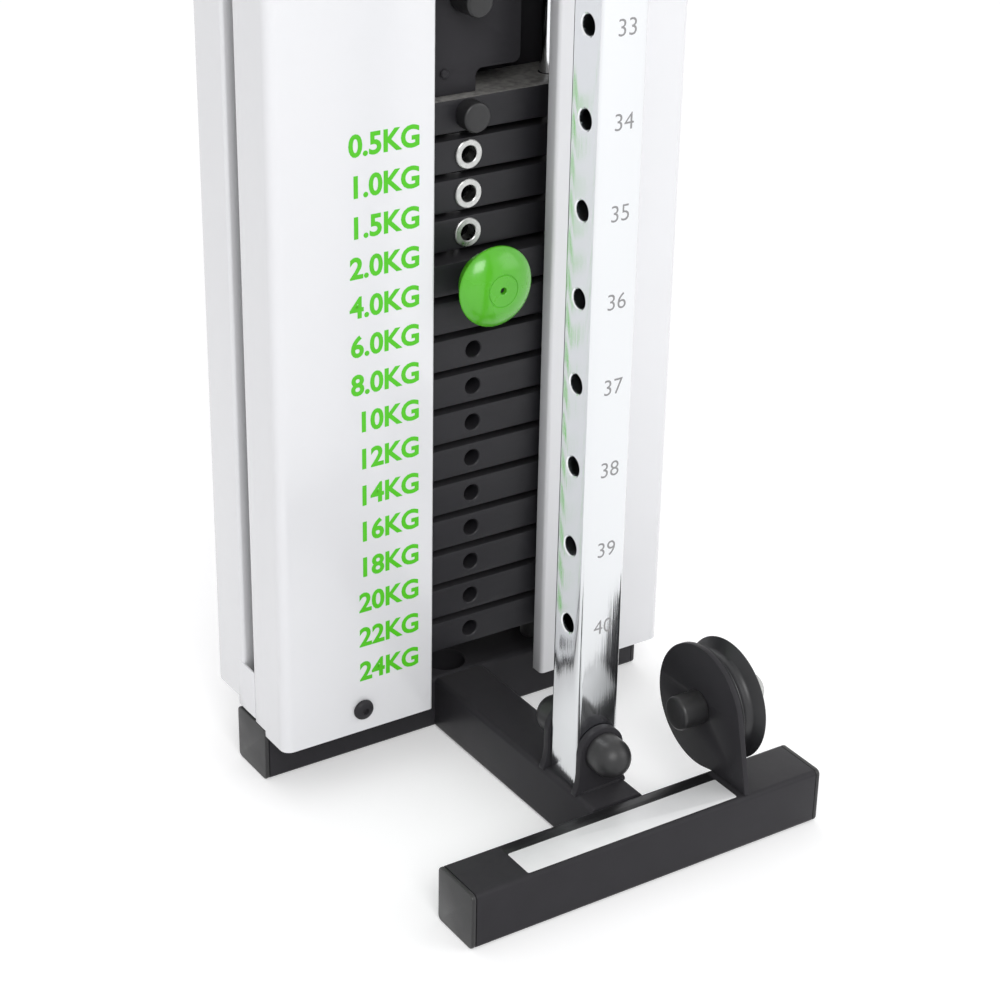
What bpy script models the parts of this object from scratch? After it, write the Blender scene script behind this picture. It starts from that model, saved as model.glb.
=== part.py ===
"""Cable pulley tower with a weight stack, a drilled column and a sliding pulley carriage.

Metres, +Z up. The origin lies on the floor under the middle of the whole footprint.
-Y is the side that the user faces, where the drilled column stands.
"""
import math

import bmesh
import bpy
from mathutils import Matrix, Vector

# Clearances
GAP = 0.0003                    # between two pieces that touch
RUN = 0.0003                    # radial play of a wheel on its bolt

# Base frame of square tube
TUBE = 0.038
TUBE_WALL = 0.002
TUBE_CORNER = 0.0035
SPINE_LENGTH = 0.185            # clear distance between the two bars
END_CAP_FLANGE = 0.003
END_CAP_PLUG = 0.012
STEM_HOLE_RADIUS = 0.0138       # in the top of the rear bar, under the stack

# Cover sheets
SHEET = 0.0012
COVER_FRONT_GAP = 0.0267        # front cover face ahead of the rear bar
COVER_BACK_GAP = 0.0297         # rear cover face behind the rear bar
COVER_STEP = 0.0005             # from a cover's side to the end of the rear bar
COVER_BEND = 0.0065
RETURN_BEND = 0.0025
FRONT_COVER_BOTTOM = 0.034
FRONT_COVER_SIDE = 0.0397       # depth of a front cover's side
FRONT_RETURN = 0.010
SLOT_LEFT = -0.0367             # the open slot between the two front covers
SLOT_RIGHT = 0.0489
REAR_COVER_BOTTOM = 0.046
REAR_COVER_SIDE = 0.0397
REAR_RETURN = 0.010
TAB_BOTTOM = 0.0404
TAB_TOP = 0.074
COVER_TOP_GAP = 0.0006

# Column with numbered holes
COLUMN = 0.030
COLUMN_WALL = 0.002
COLUMN_CORNER = 0.003
COLUMN_BEHIND = 0.039           # column axis behind the front bar
HOLE_COUNT = 40
HOLE_PITCH = 0.0525
LOWEST_HOLE_Z = 0.1495
HOLE_RADIUS = 0.006
PLUG_LENGTH = 0.040             # spigot under the top plate, inside the column

# Column foot
EAR_RADIUS = 0.016
EAR_THICKNESS = 0.005
FOOT_BOLT_Z = 0.0648
DOME_RADIUS = 0.0128
DOME_STRAIGHT = 0.009
DOME_CAVITY_RADIUS = 0.0105
DOME_CAVITY = 0.0095

# Threaded fasteners: shank radius, hexagon corner radius, head and nut height
M10 = (0.005, 0.0092, 0.0064, 0.008)
M8 = (0.004, 0.0075, 0.0053, 0.0065)

# Wheels: rim radius, groove radius, width
MAIN_WHEEL = (0.0400, 0.032, 0.018)
TOP_WHEEL = (0.033, 0.026, 0.016)
FORK_WHEEL = (0.027, 0.022, 0.014)
CABLE_RADIUS = 0.002            # of the rope that the wheels are cut for
WHEEL_SIDE_GAP = 0.0008
WHEEL_HUB = 0.005               # wall of the hub
WHEEL_RIM = 0.004               # wall under the groove
WHEEL_WEB = 0.55                # web's share of the width

# Base pulley
BASE_PLATE_X = 0.0705
PLATE_TO_BAR_END = 0.0595       # from the plate to the end of the front bar
BRACKET_PLATE = 0.004
BASE_PLATE_RADIUS = 0.0412
BASE_AXLE_BEHIND = 0.0145       # axle behind the front bar
BASE_AXLE_Z = 0.0765
BASE_FOOT_FRONT = 0.0015        # foot's set-back from the front bar's front face
BASE_FOOT_REAR = 0.0035         # and from its rear face
CAP_RADIUS = 0.011
CAP_LENGTH = 0.018
CAP_CAVITY_RADIUS = 0.0096

# Weight stack
STACK_BEHIND = 0.018            # stack centre behind the rear bar's front face
PLATE_SIDE_GAP = 0.005          # from a plate's end to the upright
PLATE_DEPTH = 0.062
LIGHT_PLATE_DEPTH = 0.044
PLATE_THICKNESS = 0.0205
PLATE_PITCH = 0.025
LOWEST_PLATE_Z = 0.0775
LOWER_PLATES = ("24", "22", "20", "18", "16", "14", "12", "10", "08", "06")
HEAVY_LIFTED_PLATE = "04"
LIGHT_PLATES = ("2_0", "1_5", "1_0")
ROD_X = 0.0725
ROD_RADIUS = 0.006
ROD_HOLE_RADIUS = 0.007
BUFFER_RADIUS = 0.0095
STEM_RADIUS = 0.010
STEM_CLEARANCE = 0.0015
PIN_RADIUS = 0.005
PIN_CLEARANCE = 0.0005
PAD_RADIUS = 0.008
PAD_TO_ROD_HOLE = 0.0175
BUSH_FLANGE_RADIUS = 0.0093
BUSH_FLANGE = 0.0015
KNOB_RADIUS = 0.0259
KNOB_NECK_RADIUS = 0.010
KNOB_NECK = 0.003
KNOB_FRONT = 0.0333             # knob face ahead of the heavy plates
KNOB_CLEAR = 0.001              # knob's foot ahead of them
KNOB_SEAT = 0.45                # depth at which the pin ends, as a share of KNOB_FRONT
# Mushroom head from its crown to its foot, as shares of KNOB_RADIUS and of the knob's length
KNOB_SHAPE = ((0.27, 0.997), (0.50, 0.97), (0.71, 0.91), (0.87, 0.836), (0.97, 0.752), (1.0, 0.703),
              (0.95, 0.635), (0.79, 0.51), (0.726, 0.387), (0.64, 0.232))

# Lifting pulley on the head plate
LIFT_AXLE_ABOVE = 0.0595        # axle above the head plate
LIFT_PLATE_RADIUS = 0.042
LIFT_NECK_LEFT = -0.020
LIFT_NECK_RIGHT = 0.010
LIFT_NECK_HEIGHT = 0.0138
LIFT_NECK_FILLET = 0.005
LIFT_CAP_RADIUS = 0.00925
LIFT_CAP_LENGTH = 0.020
HEAD_CAP_RADIUS = 0.0095
HEAD_CAP_LENGTH = 0.011
HEAD_CAP_EDGE = 0.0015

# Uprights and back panel inside the covers
UPRIGHT = 0.030
UPRIGHT_SIDE_GAP = 0.0108       # from an upright to the cover's side
PANEL_SHEET = 0.0015
PANEL_STEP = 0.011              # from an upright's middle to the panel's bend
PANEL_EDGE = 0.002              # from the panel's edge to the upright's outer face
PANEL_BACK = 0.054              # behind the rear bar's front face
PANEL_BOTTOM = 0.043

# Cover brackets and screws
BRACKET_WIDTH = 0.014
BUFFER_TO_BRACKET = 0.0007
BRACKET_TO_UPRIGHT = 0.0083
STRIP = 0.002
SCREW_ABOVE_BAR = 0.0123
SCREW_HEAD_RADIUS = 0.007
SCREW_HEAD = 0.0042
SCREW_SHANK_RADIUS = 0.003
SCREW_LENGTH = 0.009

# Carriage
REST_HOLE = 22
SLEEVE = 0.044
SLEEVE_WALL = 0.003
SLEEVE_BELOW = 0.035            # below and above the locking pin
SLEEVE_ABOVE = 0.065
LINER_BEYOND = 0.0015           # past each end of the sleeve
LINER_PLAY = 0.0003
LUG_WIDTH = 0.024
LUG_THICKNESS = 0.006
LOWER_LUG = -0.028              # underside, from the locking pin
UPPER_LUG = 0.046
ARM_BACK = 0.006
PIVOT_RADIUS = 0.008
PIVOT_BORE = 0.0035
FORK_CHEEK = 0.003
FORK_PLATE = 0.005
FORK_REAR = 0.009
FORK_AXLE_Z = 0.012
FORK_NOSE_RADIUS = 0.016
BARREL_RADIUS = 0.011
BARREL_LENGTH = 0.024
BARREL_BORE_PLAY = 0.0006
LOCK_PIN_RADIUS = 0.0054
LOCK_PIN_REACH = 0.009          # into the column, when it locks
LOCK_PIN_CLEAR = 0.0007         # from the column, when it is parked out
PULL_KNOB_RADIUS = 0.014
PULL_KNOB_LENGTH = 0.018
PULL_KNOB_GAP = 0.002

# Top plate
TOP_PLATE = 0.006
TOP_CLEARANCE = 0.005           # over the carriage at the first hole
TOP_FRONT_LEFT = -0.045
TOP_BESIDE_WHEELS = 0.0277      # plate beyond the middle of the front wheels
TOP_CORNER = 0.012
WALL_BAR = 0.030
WALL_BAR_WALL = 0.002
WALL_LIP = 0.012                # of the wall bar, down behind the rear cover
WALL_HOLE_RADIUS = 0.0045
WALL_HOLE_X = 0.080
TOP_BRACKET_RADIUS = 0.028
CABLE_HOLE_RADIUS = 0.012       # lets the end stop of a cable through
TOP_SPACER = 0.0052             # boss between a leg plate and its wheels
TOP_SPACER_RADIUS = 0.009

# Height under which a triangle counts as flat
FLAT = 0.000002

# Facets
FINE = 18
ROUND = 14
SMALL = 12
TINY = 8
ARC = 3

# Widths and places worked out from the sizes above
BRACKET_X = ROD_X + BUFFER_RADIUS + BUFFER_TO_BRACKET + BRACKET_WIDTH / 2
UPRIGHT_X = BRACKET_X + BRACKET_WIDTH / 2 + BRACKET_TO_UPRIGHT + UPRIGHT / 2
PLATE_WIDTH = 2 * (UPRIGHT_X - UPRIGHT / 2 - PLATE_SIDE_GAP)
PAD_X = ROD_X - ROD_HOLE_RADIUS - PAD_TO_ROD_HOLE - PAD_RADIUS
PANEL_HALF_WIDTH = UPRIGHT_X - PANEL_STEP
COVER_HALF_WIDTH = UPRIGHT_X + UPRIGHT / 2 + UPRIGHT_SIDE_GAP + SHEET
REAR_BAR_LENGTH = 2 * (COVER_HALF_WIDTH + COVER_STEP)
FRONT_BAR_LENGTH = 2 * (BASE_PLATE_X + PLATE_TO_BAR_END)
DEPTH = TUBE + SPINE_LENGTH + TUBE + COVER_BACK_GAP + GAP + SCREW_HEAD
FRONT_Y = -DEPTH / 2
WALL_Y = DEPTH / 2
SPINE_FRONT_Y = FRONT_Y + TUBE
REAR_Y = SPINE_FRONT_Y + SPINE_LENGTH
BACK_Y = REAR_Y + TUBE + COVER_BACK_GAP
COVER_Y = REAR_Y - COVER_FRONT_GAP
COLUMN_Y = SPINE_FRONT_Y + COLUMN_BEHIND
STACK_Y = REAR_Y + STACK_BEHIND
HIGHEST_HOLE_Z = LOWEST_HOLE_Z + (HOLE_COUNT - 1) * HOLE_PITCH
TOP_Z = HIGHEST_HOLE_Z + SLEEVE_ABOVE + TOP_CLEARANCE
CARRIAGE_Z = LOWEST_HOLE_Z + (HOLE_COUNT - REST_HOLE) * HOLE_PITCH
WHEEL_X = BASE_PLATE_X + BRACKET_PLATE + WHEEL_SIDE_GAP + MAIN_WHEEL[2] / 2
TOP_FRONT_RIGHT = WHEEL_X + TOP_BESIDE_WHEELS
BASE_AXLE_Y = SPINE_FRONT_Y + BASE_AXLE_BEHIND
MAIN_LINE = MAIN_WHEEL[1] + CABLE_RADIUS
SWIVEL_Y = BASE_AXLE_Y + MAIN_LINE
FRONT_LINE_Y = BASE_AXLE_Y - MAIN_LINE
LOWER_COUNT = len(LOWER_PLATES)
HEAD_ROW = LOWER_COUNT + 1 + len(LIGHT_PLATES)
HEAD_Z = LOWEST_PLATE_Z + HEAD_ROW * PLATE_PITCH
HEAD_TOP = HEAD_Z + PLATE_THICKNESS / 2
LIFT_Z = HEAD_TOP + LIFT_AXLE_ABOVE
HEAVY_FRONT_Y = STACK_Y - PLATE_DEPTH / 2
LIGHT_FRONT_Y = STACK_Y - LIGHT_PLATE_DEPTH / 2
SELECTED_Z = LOWEST_PLATE_Z + LOWER_COUNT * PLATE_PITCH
STEM_BORE = STEM_RADIUS + STEM_CLEARANCE
PIN_BORE = PIN_RADIUS + PIN_CLEARANCE

PLANES = {
    "X": Matrix(((0, 0, 1), (1, 0, 0), (0, 1, 0))).to_4x4(),
    "Y": Matrix(((1, 0, 0), (0, 0, -1), (0, 1, 0))).to_4x4(),
    "Z": Matrix.Identity(4),
}

FINISHES = {
    "black_coat": ((0.018, 0.018, 0.020), 0.42, 0.0),
    "white_coat": ((0.80, 0.80, 0.82), 0.22, 0.0),
    "chrome": ((0.62, 0.63, 0.65), 0.08, 1.0),
    "zinc": ((0.55, 0.56, 0.57), 0.35, 1.0),
    "steel": ((0.45, 0.45, 0.46), 0.30, 1.0),
    "plate_black": ((0.020, 0.020, 0.023), 0.50, 0.0),
    "rubber": ((0.015, 0.015, 0.016), 0.70, 0.0),
    "nylon": ((0.022, 0.022, 0.024), 0.45, 0.0),
    "green": ((0.12, 0.55, 0.05), 0.30, 0.0),
}


def clear_scene():
    """Remove the objects that are in the scene."""
    for item in list(bpy.data.objects):
        bpy.data.objects.remove(item, do_unlink=True)


def make_collection(name):
    """Return a new collection linked to the scene."""
    group = bpy.data.collections.new(name)
    bpy.context.scene.collection.children.link(group)
    return group


clear_scene()
PARTS = make_collection("cable_pulley_tower")
CUTTERS = make_collection("cutters")


def make_finish(name, kind):
    """Return a material of its own for one piece."""
    colour, roughness, metallic = FINISHES[kind]
    finish = bpy.data.materials.new(name)
    finish.use_nodes = True
    shader = finish.node_tree.nodes["Principled BSDF"]
    shader.inputs["Base Color"].default_value = (*colour, 1.0)
    shader.inputs["Roughness"].default_value = roughness
    shader.inputs["Metallic"].default_value = metallic
    finish.diffuse_color = (*colour, 1.0)
    return finish


def keep(item, kind):
    """Put an object among the parts and give it its finish."""
    for group in list(item.users_collection):
        group.objects.unlink(item)
    PARTS.objects.link(item)
    item.data.materials.clear()
    item.data.materials.append(make_finish(item.name, kind))
    return item


def as_tool(item):
    """Put an object among the cutters, out of the render."""
    for group in list(item.users_collection):
        group.objects.unlink(item)
    CUTTERS.objects.link(item)
    item.hide_render = True
    item.display_type = "WIRE"
    return item


def from_bmesh(name, shape):
    """Return an object that holds a bmesh."""
    mesh = bpy.data.meshes.new(name)
    shape.to_mesh(mesh)
    shape.free()
    item = bpy.data.objects.new(name, mesh)
    bpy.context.scene.collection.objects.link(item)
    return item


def smooth(item, degrees=35):
    """Shade an object smooth apart from its sharp edges."""
    item.data.shade_smooth()
    item.data.set_sharp_from_angle(angle=math.radians(degrees))
    return item


def boolean(item, tool, operation):
    """Add a Boolean modifier to item that takes tool."""
    step = item.modifiers.new(tool.name, "BOOLEAN")
    step.operation = operation
    step.solver = "EXACT"
    step.object = as_tool(tool)
    return item


def cut(item, *tools):
    """Cut tools out of item."""
    for tool in tools:
        boolean(item, tool, "DIFFERENCE")
    return item


def fuse(item, *tools):
    """Join tools to item as one body."""
    for tool in tools:
        boolean(item, tool, "UNION")
    return item


def circle(x, y, radius, count, turn=0.5):
    """Return the points of a regular polygon, turned by part of a step."""
    step = 2 * math.pi / count
    return [(x + radius * math.cos(step * (i + turn)), y + radius * math.sin(step * (i + turn)))
            for i in range(count)]


def arc(x, y, radius, start, end, count):
    """Return count + 1 points on an arc, in degrees."""
    angles = [math.radians(start + (end - start) * i / count) for i in range(count + 1)]
    return [(x + radius * math.cos(a), y + radius * math.sin(a)) for a in angles]


def rectangle(x0, y0, x1, y1, radius=0.0, count=2):
    """Return a rectangle's outline with round corners."""
    if radius <= 0:
        return [(x0, y0), (x1, y0), (x1, y1), (x0, y1)]
    outline = arc(x0 + radius, y0 + radius, radius, 180, 270, count)
    outline += arc(x1 - radius, y0 + radius, radius, 270, 360, count)
    outline += arc(x1 - radius, y1 - radius, radius, 0, 90, count)
    outline += arc(x0 + radius, y1 - radius, radius, 90, 180, count)
    return outline


def square(x, y, side, radius=0.0, count=2):
    """Return the outline of a square about a point."""
    half = side / 2
    return rectangle(x - half, y - half, x + half, y + half, radius, count)


def tangent(px, py, cx, cy, radius, side):
    """Return where the line from a point touches a circle, on side +1 or -1."""
    away = math.hypot(px - cx, py - cy)
    bearing = math.atan2(py - cy, px - cx)
    swing = side * math.acos(radius / away)
    return bearing + swing


def turn_flat_faces(shape):
    """Turn the long edge of each triangle without height, which the fill leaves on points in line."""
    for _ in range(len(shape.faces)):
        flat = []
        for face in shape.faces:
            longest = max(face.edges, key=lambda edge: edge.calc_length())
            if 2 * face.calc_area() < FLAT * longest.calc_length():
                flat.append(longest)
        if not flat:
            return
        bmesh.ops.rotate_edges(shape, edges=[max(flat, key=lambda edge: edge.calc_length())])


def prism(name, plane, start, thickness, outline, holes=(), frame=None):
    """Extrude a flat outline with holes along an axis, and return it as a mesh object."""
    curve = bpy.data.curves.new(name, "CURVE")
    curve.dimensions = "2D"
    curve.fill_mode = "BOTH"
    curve.extrude = thickness / 2
    for loop in (outline, *holes):
        spline = curve.splines.new("POLY")
        spline.points.add(len(loop) - 1)
        for point, (x, y) in zip(spline.points, loop):
            point.co = (x, y, 0.0, 1.0)
        spline.use_cyclic_u = True
    flat = bpy.data.objects.new(name + "_outline", curve)
    bpy.context.scene.collection.objects.link(flat)
    axis = {"X": 0, "Y": 1, "Z": 2}[plane]
    shift = Vector((0, 0, 0))
    shift[axis] = start + thickness / 2
    flat.matrix_world = (frame or Matrix.Identity(4)) @ Matrix.Translation(shift) @ PLANES[plane]
    bpy.context.view_layer.update()
    mesh = bpy.data.meshes.new_from_object(flat.evaluated_get(bpy.context.evaluated_depsgraph_get()))
    shape = bmesh.new()
    shape.from_mesh(mesh)
    bmesh.ops.remove_doubles(shape, verts=shape.verts, dist=1e-6)
    turn_flat_faces(shape)
    bmesh.ops.recalc_face_normals(shape, faces=shape.faces)
    shape.to_mesh(mesh)
    shape.free()
    solid = bpy.data.objects.new(name, mesh)
    bpy.context.scene.collection.objects.link(solid)
    solid.matrix_world = flat.matrix_world
    bpy.data.objects.remove(flat, do_unlink=True)
    return solid


def turned(name, profile, count, place):
    """Turn a profile of (radius, height) points about its axis with a Screw modifier."""
    shape = bmesh.new()
    points = [shape.verts.new((radius, 0.0, height)) for radius, height in profile]
    for first, second in zip(points, points[1:]):
        shape.edges.new((first, second))
    if profile[0][0] > 0:
        shape.edges.new((points[-1], points[0]))
    item = from_bmesh(name, shape)
    screw = item.modifiers.new("turn", "SCREW")
    screw.steps = count
    screw.render_steps = count
    screw.use_merge_vertices = True
    screw.merge_threshold = 0.00001
    screw.use_smooth_shade = False
    item.matrix_world = place
    return item


def rods(name, count, *pieces):
    """Return one mesh of closed cylinders, each given as place, radius and length."""
    shape = bmesh.new()
    for place, radius, length in pieces:
        bmesh.ops.create_cone(
            shape, cap_ends=True, segments=count, radius1=radius, radius2=radius,
            depth=length, matrix=place @ Matrix.Translation((0, 0, length / 2))
            @ Matrix.Rotation(math.pi / count, 4, "Z"))
    return from_bmesh(name, shape)


def look(x, y, z, axis):
    """Return a place whose local +Z points along axis."""
    turn = Vector((0, 0, 1)).rotation_difference(Vector(axis)).to_matrix().to_4x4()
    return Matrix.Translation((x, y, z)) @ turn


def bend(points, radii, count=ARC):
    """Return a path with its inner corners rounded to the given radii."""
    path = [points[0]]
    for before, corner, after, radius in zip(points, points[1:], points[2:], radii):
        a = (Vector(before) - Vector(corner)).normalized()
        b = (Vector(after) - Vector(corner)).normalized()
        half = a.angle(b) / 2
        reach = radius / math.tan(half)
        centre = Vector(corner) + (a + b).normalized() * (radius / math.sin(half))
        start = Vector(corner) + a * reach - centre
        swing = start.angle_signed(Vector(corner) + b * reach - centre)
        for i in range(count + 1):
            turn = Matrix.Rotation(-swing * i / count, 2)
            path.append(tuple(centre + turn @ start))
    path.append(points[-1])
    return path


def sheet(name, path, bottom, top, thickness):
    """Raise a bent path into a sheet whose thickness grows to the path's right."""
    shape = bmesh.new()
    low = [shape.verts.new((x, y, bottom)) for x, y in path]
    edges = [shape.edges.new(pair) for pair in zip(low, low[1:])]
    raised = bmesh.ops.extrude_edge_only(shape, edges=edges)["geom"]
    moved = [v for v in raised if isinstance(v, bmesh.types.BMVert)]
    bmesh.ops.translate(shape, verts=moved, vec=(0, 0, top - bottom))
    item = from_bmesh(name, shape)
    wall = item.modifiers.new("wall", "SOLIDIFY")
    wall.thickness = thickness
    wall.offset = -1
    wall.use_even_offset = True
    return item


def bolt(name, size, place, grip):
    """Return a bolt with its nut on: the head ends at the place, and the nut starts past the grip."""
    shank, corner, head, nut = size
    body = rods(name, TINY, (place, shank, grip + nut))
    ends = rods(name + "_ends", 6,
                (place @ Matrix.Translation((0, 0, -head)), corner, head + GAP),
                (place @ Matrix.Translation((0, 0, grip)), corner, nut - GAP))
    return fuse(body, ends)


def wheel(name, size, bore, place):
    """Return a grooved wheel whose middle plane is at the place: the main wheels have a thin web."""
    rim, groove, width = size
    half = width / 2
    profile = [(bore, -half), (bore, half)]
    if size is not MAIN_WHEEL:
        profile += [(rim, half), (groove, CABLE_RADIUS), (groove, -CABLE_RADIUS), (rim, -half)]
        return turned(name, profile, ROUND, place)
    web = half * WHEEL_WEB
    hub = bore + WHEEL_HUB
    waist = groove - WHEEL_RIM
    profile += [(hub, half), (hub, web), (waist, web), (rim, half), (groove, CABLE_RADIUS),
                (groove, -CABLE_RADIUS), (rim, -half), (waist, -web), (hub, -web), (hub, -half)]
    return turned(name, profile, FINE, place)


# Base frame

def tube_along(name, plane, start, length, x, y, side=TUBE, wall=TUBE_WALL, corner=TUBE_CORNER):
    """Return a hollow square tube along an axis."""
    inner = square(x, y, side - 2 * wall, corner - wall, 1)
    return prism(name, plane, start, length, square(x, y, side, corner), (inner,))


def build_base():
    """Make the welded base frame, the lower cover strips on it, and its end caps."""
    middle = TUBE / 2
    rear_half = REAR_BAR_LENGTH / 2 - END_CAP_FLANGE - GAP
    front_half = FRONT_BAR_LENGTH / 2 - END_CAP_FLANGE - GAP
    rear = tube_along("base_rear_bar", "X", -rear_half, 2 * rear_half, REAR_Y + middle, middle)
    hole = rods("stem_hole", ROUND, (look(0, STACK_Y, TUBE / 2, (0, 0, 1)), STEM_HOLE_RADIUS, TUBE))
    keep(add_strips(cut(rear, hole), TUBE, 1), "black_coat")
    front = tube_along("base_front_bar", "X", -front_half, 2 * front_half, FRONT_Y + middle, middle)
    keep(front, "black_coat")
    spine = tube_along("base_spine", "Y", SPINE_FRONT_Y + GAP, SPINE_LENGTH - 2 * GAP, 0, middle)
    keep(fuse(spine, *column_ears()), "black_coat")
    for bar, y, half in (("rear", REAR_Y + middle, REAR_BAR_LENGTH / 2),
                         ("front", FRONT_Y + middle, FRONT_BAR_LENGTH / 2)):
        for hand, side in (("left", -1), ("right", 1)):
            keep(end_cap(f"{bar}_bar_cap_{hand}", side, half, y, middle), "rubber")


def end_cap(name, side, half, y, z):
    """Return one end cap: a flange with a plug that goes into the tube."""
    flange_start = half - END_CAP_FLANGE if side > 0 else -half
    plug_start = half - END_CAP_FLANGE - END_CAP_PLUG if side > 0 else -half + END_CAP_FLANGE - GAP
    flange = prism(name, "X", flange_start, END_CAP_FLANGE, square(y, z, TUBE, TUBE_CORNER))
    plug_side = TUBE - 2 * TUBE_WALL - 2 * GAP
    plug = prism(name + "_plug", "X", plug_start, END_CAP_PLUG + GAP,
                 square(y, z, plug_side, TUBE_CORNER - TUBE_WALL, 1))
    return fuse(flange, plug)


# Column

def build_column():
    """Make the drilled column, the bolt through its foot, and the dome caps over it."""
    foot = TUBE + 2 * GAP
    inner = square(0, COLUMN_Y, COLUMN - 2 * COLUMN_WALL, COLUMN_CORNER - COLUMN_WALL, 1)
    column = prism("column", "Z", foot, TOP_Z - GAP - foot,
                   square(0, COLUMN_Y, COLUMN, COLUMN_CORNER), (inner,))
    face_x = -COLUMN / 2 - COLUMN_WALL
    holes = []
    for i in range(HOLE_COUNT):
        z = LOWEST_HOLE_Z + i * HOLE_PITCH
        holes.append((look(face_x, COLUMN_Y, z, (1, 0, 0)), HOLE_RADIUS, 3 * COLUMN_WALL))
    row = rods("number_holes", TINY, *holes)
    through = rods("foot_bolt_hole", SMALL,
                   (look(0, COLUMN_Y - COLUMN, FOOT_BOLT_Z, (0, 1, 0)), M10[0] + GAP, 2 * COLUMN))
    keep(cut(column, row, through), "chrome")
    front, rear = foot_faces()
    clamp = bolt("column_foot_bolt", M10, look(0, front, FOOT_BOLT_Z, (0, 1, 0)), rear - front)
    keep(clamp, "zinc")
    for name, y, way in (("foot_dome_front", front, -1), ("foot_dome_rear", rear, 1)):
        keep(smooth(dome(name, look(0, y, FOOT_BOLT_Z, (0, way, 0)))), "rubber")


def foot_faces():
    """Return where the bolt's head and nut bear on the ears, front and rear."""
    reach = COLUMN / 2 + GAP + EAR_THICKNESS + GAP
    return COLUMN_Y - reach, COLUMN_Y + reach


def column_ears():
    """Return the two ears that are welded on the spine before and behind the column."""
    outline = [(-EAR_RADIUS, TUBE - TUBE_WALL / 2), (EAR_RADIUS, TUBE - TUBE_WALL / 2)]
    outline += arc(0, FOOT_BOLT_Z, EAR_RADIUS, 0, 180, 8)
    hole = circle(0, FOOT_BOLT_Z, M10[0] + GAP, SMALL)
    front, rear = foot_faces()
    return (prism("ear_front", "Y", front + GAP, EAR_THICKNESS, outline, (hole,)),
            prism("ear_rear", "Y", rear - GAP - EAR_THICKNESS, EAR_THICKNESS, outline, (hole,)))


def dome(name, place):
    """Return a hollow bullet-shaped cap that stands on the place."""
    crown = arc(0, DOME_STRAIGHT, DOME_RADIUS, 90, 0, 4)
    profile = [(max(r, 0.0), h) for r, h in crown]
    profile[0] = (0.0, DOME_STRAIGHT + DOME_RADIUS)
    profile += [(DOME_RADIUS, 0.0), (DOME_CAVITY_RADIUS, 0.0), (DOME_CAVITY_RADIUS, DOME_CAVITY),
                (0.0, DOME_CAVITY)]
    return turned(name, profile, SMALL, place)


# Base pulley

def build_base_pulley():
    """Make the pulley on the front bar with its plate, bolt and cap."""
    outline = bracket_outline(
        (SPINE_FRONT_Y - BASE_FOOT_REAR, FRONT_Y + BASE_FOOT_FRONT), TUBE + GAP,
        BASE_AXLE_Y, BASE_AXLE_Z, BASE_PLATE_RADIUS)
    hole = circle(BASE_AXLE_Y, BASE_AXLE_Z, M10[0] + GAP, SMALL)
    plate = prism("base_pulley_plate", "X", BASE_PLATE_X, BRACKET_PLATE, outline, (hole,))
    keep(plate, "black_coat")
    hub = look(WHEEL_X, BASE_AXLE_Y, BASE_AXLE_Z, (1, 0, 0))
    keep(smooth(wheel("base_pulley", MAIN_WHEEL, M10[0] + RUN, hub)), "nylon")
    head = look(BASE_PLATE_X - GAP, BASE_AXLE_Y, BASE_AXLE_Z, (1, 0, 0))
    keep(bolt("base_pulley_bolt", M10, head, pulley_grip(MAIN_WHEEL)), "zinc")
    cap_place = look(BASE_PLATE_X - GAP, BASE_AXLE_Y, BASE_AXLE_Z, (-1, 0, 0))
    cap = hollow_cap("base_pulley_cap", CAP_RADIUS, CAP_LENGTH, CAP_CAVITY_RADIUS,
                     M10[2] + GAP, SMALL, cap_place)
    keep(smooth(cap), "rubber")


def pulley_grip(size):
    """Return the length between head and nut of a bolt that holds a wheel beside one plate."""
    return GAP + BRACKET_PLATE + WHEEL_SIDE_GAP + size[2] + WHEEL_SIDE_GAP


def bracket_outline(feet, foot_z, y, z, radius):
    """Return a plate outline: a round head on two straight sides that run to its feet."""
    rear, front = feet
    start = tangent(rear, foot_z, y, z, radius, 1)
    end = tangent(front, foot_z, y, z, radius, -1)
    sweep = (end - start) % (2 * math.pi)
    outline = [(front, foot_z), (rear, foot_z)]
    outline += arc(y, z, radius, math.degrees(start), math.degrees(start + sweep), 18)
    return outline


def hollow_cap(name, radius, length, cavity_radius, cavity, count, place):
    """Return a cylindrical cap with a rounded end, hollow over a bolt's head."""
    edge = radius * 0.25
    profile = [(0.0, length), (radius - edge, length)]
    profile += [(r, h) for r, h in arc(radius - edge, length - edge, edge, 60, 0, 2)]
    profile += [(radius, 0.0), (cavity_radius, 0.0), (cavity_radius, cavity), (0.0, cavity)]
    return turned(name, profile, count, place)


# Covers

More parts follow.
